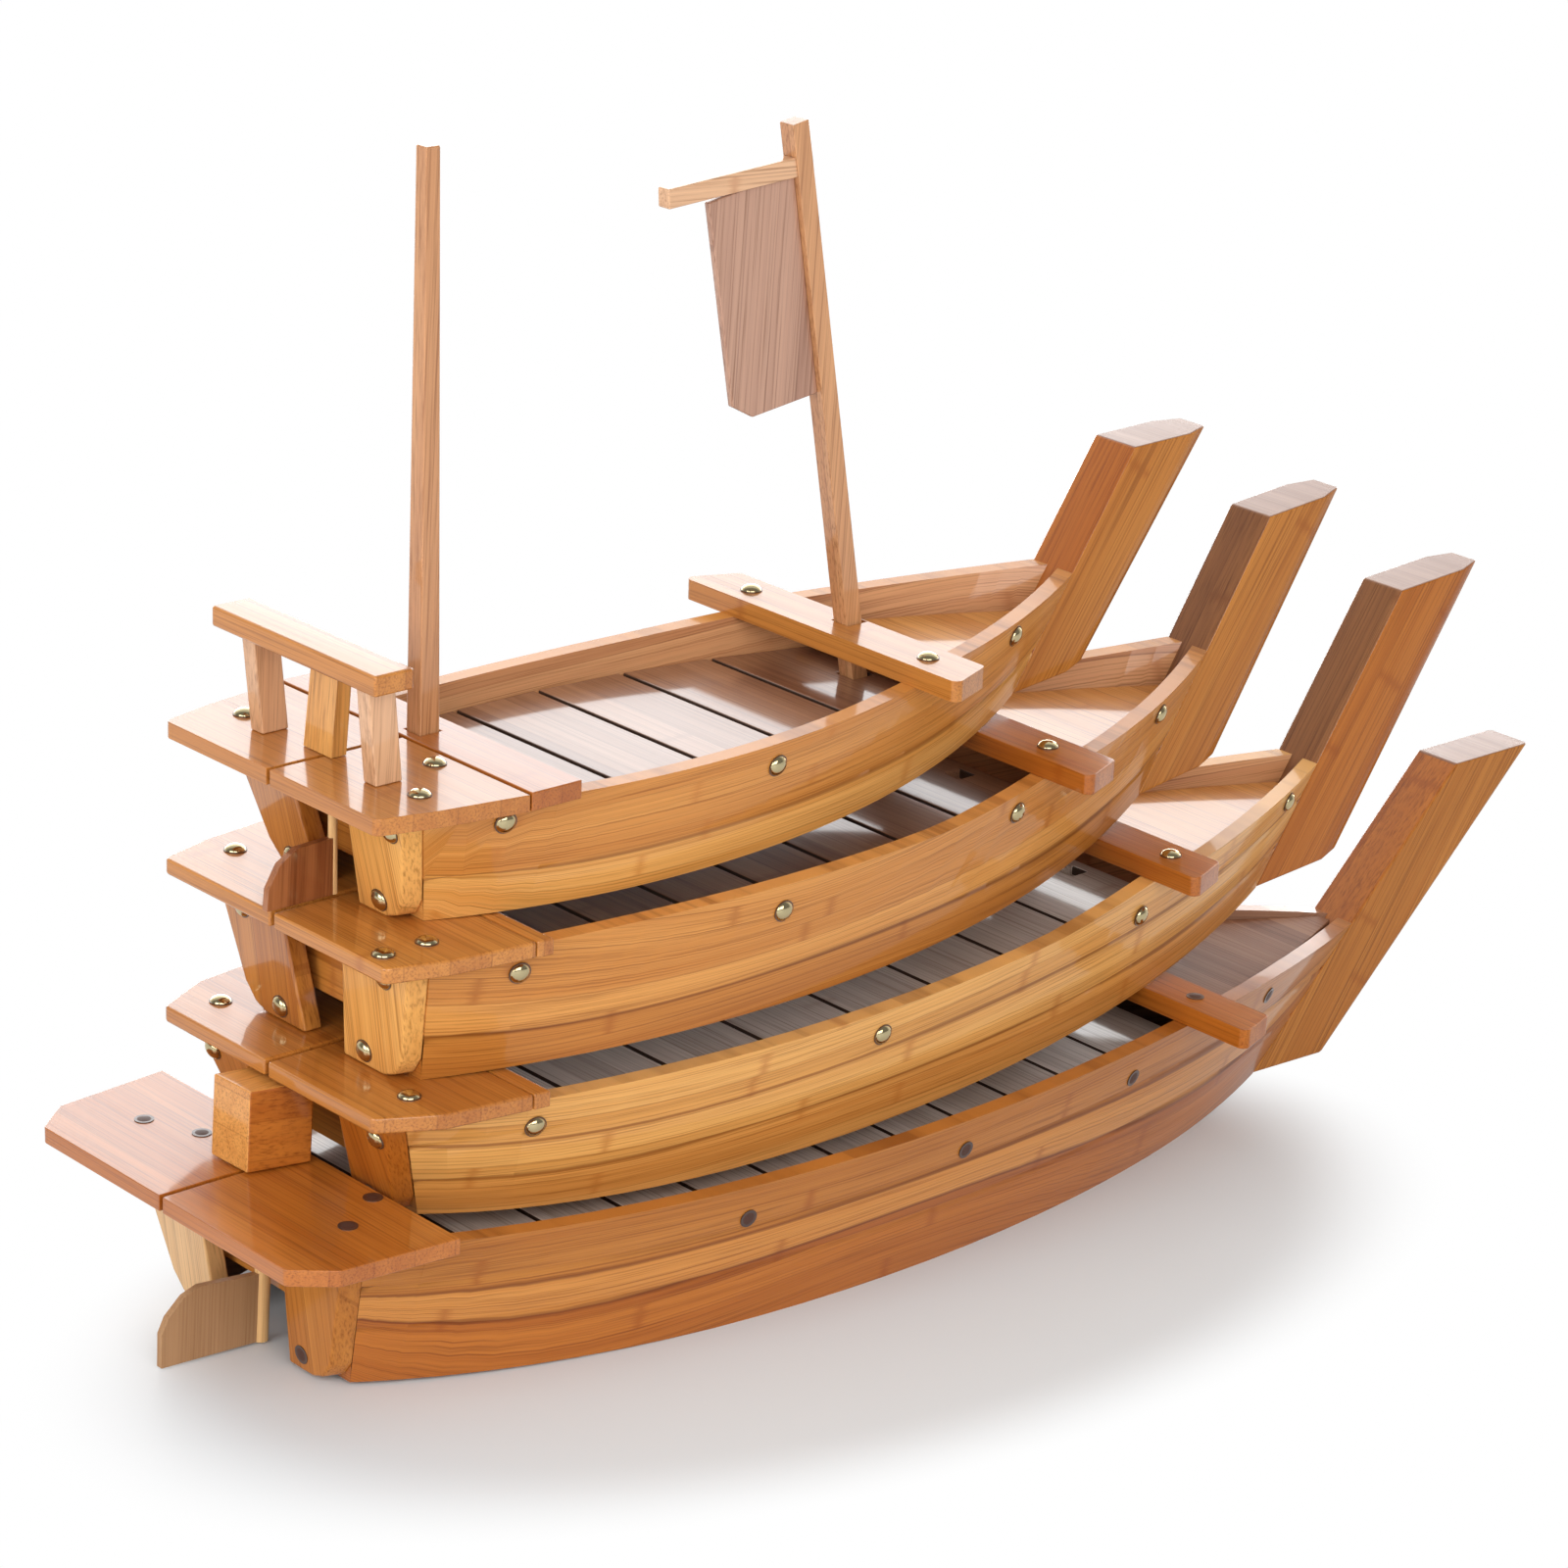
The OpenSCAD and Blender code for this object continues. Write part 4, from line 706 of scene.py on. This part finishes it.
def separate_parts(bm):
    """The corners of each part of a mesh that hangs together, as arrays."""
    # a dict keeps its order, so each run finds the parts and their corners in the same order
    left = dict.fromkeys(bm.verts)
    while left:
        heap, part = [left.popitem()[0]], []
        while heap:
            v = heap.pop()
            part.append(v.co[:])
            for e in v.link_edges:
                other = e.other_vert(v)
                if other in left:
                    del left[other]
                    heap.append(other)
        yield np.array(part)


def head_points(name):
    """Foot and direction of every head in a solid: heads look aft, to a side or up."""
    bm = bmesh.new()
    bm.from_mesh(nodes[name].data)
    bmesh.ops.remove_doubles(bm, verts=bm.verts, dist=MERGE)
    heads = []
    for part in separate_parts(bm):
        centre = part.mean(axis=0)
        # a head is a flat disc, so its axis is the direction of its least spread
        axis = np.linalg.svd(part - centre)[2][2]
        main = int(np.argmax(np.abs(axis)))
        outwards = (-1.0, math.copysign(1.0, centre[1]), 1.0)[main]
        if axis[main] * outwards < 0:
            axis = -axis
        heads.append((centre + axis * ((part - centre) @ axis).min(), axis))
    bm.free()
    return heads


# %% The tree of a head
ROUND_SIDES = 24
DOME_RINGS = 14
HEAD_SIZES = ("Radius", "Height", "Rim width", "Rim height")


def head_tree(title, top, rim):
    """A tree that sets a dome with the finish top and a disc with the finish rim on points."""
    group = bpy.data.node_groups.new(title, "GeometryNodeTree")
    face = group.interface
    face.new_socket("Points", in_out="INPUT", socket_type="NodeSocketGeometry")
    for label in HEAD_SIZES:
        face.new_socket(label, in_out="INPUT", socket_type="NodeSocketFloat")
    face.new_socket("Heads", in_out="OUTPUT", socket_type="NodeSocketGeometry")
    w = Tree(group)
    given = w.add("NodeGroupInput").outputs
    # the dome: a ball whose lower half is pressed flat
    ball = w.add("GeometryNodeMeshUVSphere", {
        "Segments": ROUND_SIDES, "Rings": DOME_RINGS, "Radius": given["Radius"]})
    place = w.add("GeometryNodeInputPosition").outputs[0]
    xyz = w.add("ShaderNodeSeparateXYZ", {0: place}).outputs
    squeeze = w.math("MULTIPLY", w.math("MAXIMUM", xyz[2], 0.0),
                     w.math("DIVIDE", given["Height"], given["Radius"]))
    pressed = w.add("ShaderNodeCombineXYZ", {0: xyz[0], 1: xyz[1], 2: squeeze}).outputs[0]
    dome = w.add("GeometryNodeSetPosition", {
        "Geometry": ball.outputs["Mesh"], "Position": pressed}).outputs[0]
    # the rim: a thin disc a little wider than the dome; round a nail its dark finish is painted
    # shade
    disc = w.add("GeometryNodeMeshCylinder", {
        "Vertices": ROUND_SIDES, "Depth": given["Rim height"],
        "Radius": w.math("ADD", given["Radius"], given["Rim width"])})
    lift = w.add("ShaderNodeCombineXYZ", {2: w.math("MULTIPLY", given["Rim height"], 0.5)})
    ring = w.add("GeometryNodeTransform", {
        "Geometry": disc.outputs["Mesh"], "Translation": lift.outputs[0]}).outputs[0]
    # one of each on every point, turned to its direction
    axis = w.add("GeometryNodeInputNamedAttribute", {"Name": "axis"}, data_type="FLOAT_VECTOR")
    turn = w.add("FunctionNodeAlignRotationToVector", {
        "Vector": axis.outputs["Attribute"]}, axis="Z").outputs[0]
    join = w.add("GeometryNodeJoinGeometry")
    for shape, skin in ((dome, top), (ring, rim)):
        placed = w.add("GeometryNodeInstanceOnPoints", {
            "Points": given["Points"], "Instance": shape, "Rotation": turn}).outputs[0]
        real = w.add("GeometryNodeRealizeInstances", {0: placed}).outputs[0]
        coat = w.add("GeometryNodeSetMaterial", {"Geometry": real, "Material": skin})
        w.put(join.inputs[0], coat.outputs[0])
    w.add("NodeGroupOutput", {0: join.outputs[0]})
    return group


nail_tree = head_tree("brass_nail", brass, nail_rim_painted_shade)
peg_tree = head_tree("wooden_peg", peg_wood, peg_edge)
print("trees:", nail_tree.name, len(nail_tree.nodes), "nodes")

# %% Set the heads
# radius, height, width and height of the rim, in metres
NAIL = (0.0054, 0.0032, 0.0004, 0.0006)
PEG = (0.0046, 0.0006, 0.0003, 0.0004)
HEAD_EDGE = math.radians(40)


def set_heads(name, tree, sizes):
    """Replaces the plain heads of a node with shaped ones."""
    heads = head_points(name)
    mesh = bpy.data.meshes.new(name + "_heads")
    mesh.from_pydata([foot for foot, axis in heads], [], [])
    attr = mesh.attributes.new("axis", "FLOAT_VECTOR", "POINT")
    for item, (foot, axis) in zip(attr.data, heads):
        item.vector = axis
    obj = in_scene(name + ".heads", mesh)
    mod = obj.modifiers.new("heads", "NODES")
    mod.node_group = tree
    named = dict(zip(HEAD_SIZES, sizes))
    for item in tree.interface.items_tree:
        if item.in_out == "INPUT" and item.name in named:
            mod[item.identifier] = named[item.name]
    apply_modifiers(obj)
    for f in obj.data.polygons:
        f.use_smooth = True
    obj.data.set_sharp_from_angle(angle=HEAD_EDGE)
    stand_for(obj, name)
    print(name, "heads:", len(heads), "faces:", len(obj.data.polygons))


for boat in ("small", "medium", "large"):
    set_heads(boat + "_nails", nail_tree, NAIL)
set_heads("base_plugs", peg_tree, PEG)

# %% [markdown]
# ## Floor and light
# The set stands in a white studio. The floor is one large sheet; away from the boats it turns
# to pure white where the camera or a polished surface looks at it, and near them it is plain
# and keeps their soft shadow. Two white panels stand behind the boats. They light nothing, but
# the lacquered decks mirror them, which is why they look white from behind the stern.

# %% Floor
FLOOR_REACH = 8.0
FLOOR_COLOUR = (0.725, 0.75, 0.765, 1)
WHITE = (1, 1, 1, 1)
# the plain part of the floor is an ellipse: its centre, its half lengths, and the shares of
# these between which it fades
PLAIN_CENTRE = (-0.14, -0.07)
PLAIN_SIZE = (0.42, 0.22)
PLAIN_FADE = (0.76, 1.06)
# how much of the white floor a polished surface sees
MIRRORED_FLOOR = 0.35


def floor_shader(w):
    """A plain floor that fades to white away from the boats."""
    co = w.add("ShaderNodeTexCoord").outputs["Object"]
    scale = [1 / s for s in PLAIN_SIZE]
    moved = [-c / s for c, s in zip(PLAIN_CENTRE, PLAIN_SIZE)]
    flat = w.add("ShaderNodeMapping", {"Vector": co, "Scale": (*scale, 1.0),
                                       "Location": (*moved, 0.0)}).outputs[0]
    far = w.add("ShaderNodeVectorMath", {0: flat}, operation="LENGTH").outputs["Value"]
    fade = w.add("ShaderNodeMapRange", {"Value": far, "From Min": PLAIN_FADE[0],
                                        "From Max": PLAIN_FADE[1]},
                 interpolation_type="SMOOTHSTEP").outputs[0]
    path = w.add("ShaderNodeLightPath").outputs
    mirrored = w.math("MULTIPLY", path["Is Glossy Ray"], MIRRORED_FLOOR)
    seen = w.math("MAXIMUM", path["Is Camera Ray"], w.math(
        "MAXIMUM", path["Is Transmission Ray"], mirrored))
    plain = w.add("ShaderNodeBsdfPrincipled", {"Base Color": FLOOR_COLOUR, "Roughness": 0.5,
                                               "Specular IOR Level": 0.25})
    white = w.add("ShaderNodeEmission", {"Color": WHITE, "Strength": 1.0})
    return w.add("ShaderNodeMixShader", {0: w.math("MULTIPLY", fade, seen),
                                         1: plain.outputs[0], 2: white.outputs[0]})


def stage_sheet(name, corners, skin):
    """A flat sheet with four corners that belongs to the studio."""
    mesh = bpy.data.meshes.new(name)
    mesh.from_pydata(corners, [], [(0, 1, 2, 3)])
    mesh.materials.append(skin)
    obj = in_scene(name, mesh)
    return obj


floor_corners = [(FLOOR_REACH * x, FLOOR_REACH * y, 0)
                 for x, y in ((-1, -1), (1, -1), (1, 1), (-1, 1))]
floor = stage_sheet("studio_floor", floor_corners, material("studio_floor", floor_shader))
print("floor:", tuple(round(v, 1) for v in floor.dimensions))

# %% World
# White wherever the camera looks. Polished surfaces see white behind the boats and a dimmer room
# in front of them, and matt surfaces are lit evenly.
# the direction behind the boats, and the cosines to it between which the mirror image brightens
BEHIND = (0.67, 0.74, 0.0)
BRIGHTENS = (0.05, 0.5)
DIM_ROOM = 0.25
EVEN_LIGHT = 0.72


def studio_world():
    """A white world that is dimmer in the mirror image of what stands before the boats."""
    world = bpy.data.worlds.new("studio")
    bpy.context.scene.world = world
    world.use_nodes = True
    w = Tree(world.node_tree)
    path = w.add("ShaderNodeLightPath").outputs
    looking = w.add("ShaderNodeTexCoord").outputs["Generated"]
    behind = w.add("ShaderNodeVectorMath", {0: looking, 1: BEHIND},
                   operation="DOT_PRODUCT").outputs["Value"]
    mirror = w.add("ShaderNodeMapRange", {"Value": behind, "From Min": BRIGHTENS[0],
                                          "From Max": BRIGHTENS[1], "To Min": DIM_ROOM,
                                          "To Max": 1.0}).outputs[0]
    plain = w.blend(path["Is Glossy Ray"], EVEN_LIGHT, mirror)
    looked_at = w.math("MAXIMUM", path["Is Camera Ray"], path["Is Transmission Ray"])
    level = w.blend(looked_at, plain, 1.0)
    sky = w.add("ShaderNodeBackground", {"Color": WHITE, "Strength": level})
    w.add("ShaderNodeOutputWorld", {"Surface": sky.outputs[0]})
    return world


world = studio_world()
print("world:", len(world.node_tree.nodes), "nodes")

# %% Panels behind the boats
# centre, width, height and strength of each panel
PANELS = {
    "white_panel": ((2.1, 2.35, 1.75), 7.0, 3.0, 2.7),
    "low_panel": ((2.0, 2.25, 0.42), 6.0, 0.55, 9.0),
}


def glow(w, power):
    """Plain white light."""
    return w.add("ShaderNodeEmission", {"Color": WHITE, "Strength": power})


def glow_panel(name, centre, width, height, power):
    """An upright white panel that faces the boats and that only polished surfaces see."""
    c = Vector(centre)
    away = Vector((c.x, c.y, 0)).normalized()
    side = Vector((-away.y, away.x, 0)) * width / 2
    tall = Vector((0, 0, height / 2))
    corners = [c - side - tall, c + side - tall, c + side + tall, c - side + tall]
    obj = stage_sheet(name, corners, material(name, glow, power))
    obj.visible_camera = False
    obj.visible_diffuse = False
    obj.visible_shadow = False


for name, (centre, width, height, power) in PANELS.items():
    glow_panel(name, centre, width, height, power)

# %% Lamps
# place, width and height in metres, and power in watts
LAMPS = {
    "lamp_front": ((-1.2, -2.0, 1.1), (2.0, 1.3), 27),
    "lamp_left": ((-2.3, -0.4, 0.9), (1.4, 1.2), 19),
    "lamp_back": ((0.3, 2.0, 1.4), (2.0, 1.0), 11),
}
# the panels are what the decks mirror, so this lamp above them stays out of the mirror image
UNMIRRORED = "lamp_back"
LAMPS_AIM = Vector((0, 0, 0.2))


def soft_lamp(name, place, size, power):
    """A wide lamp that looks at the boats."""
    data = bpy.data.lights.new(name, "AREA")
    data.shape = "RECTANGLE"
    data.size, data.size_y = size
    data.energy = power
    obj = in_scene(name, data)
    obj.location = place
    obj.rotation_euler = (LAMPS_AIM - Vector(place)).to_track_quat("-Z", "Y").to_euler()
    obj.visible_glossy = name != UNMIRRORED


for name, (place, size, power) in LAMPS.items():
    soft_lamp(name, place, size, power)
bpy.context.scene.view_settings.view_transform = "Standard"
print("lamps:", len(LAMPS), "panels:", len(PANELS))
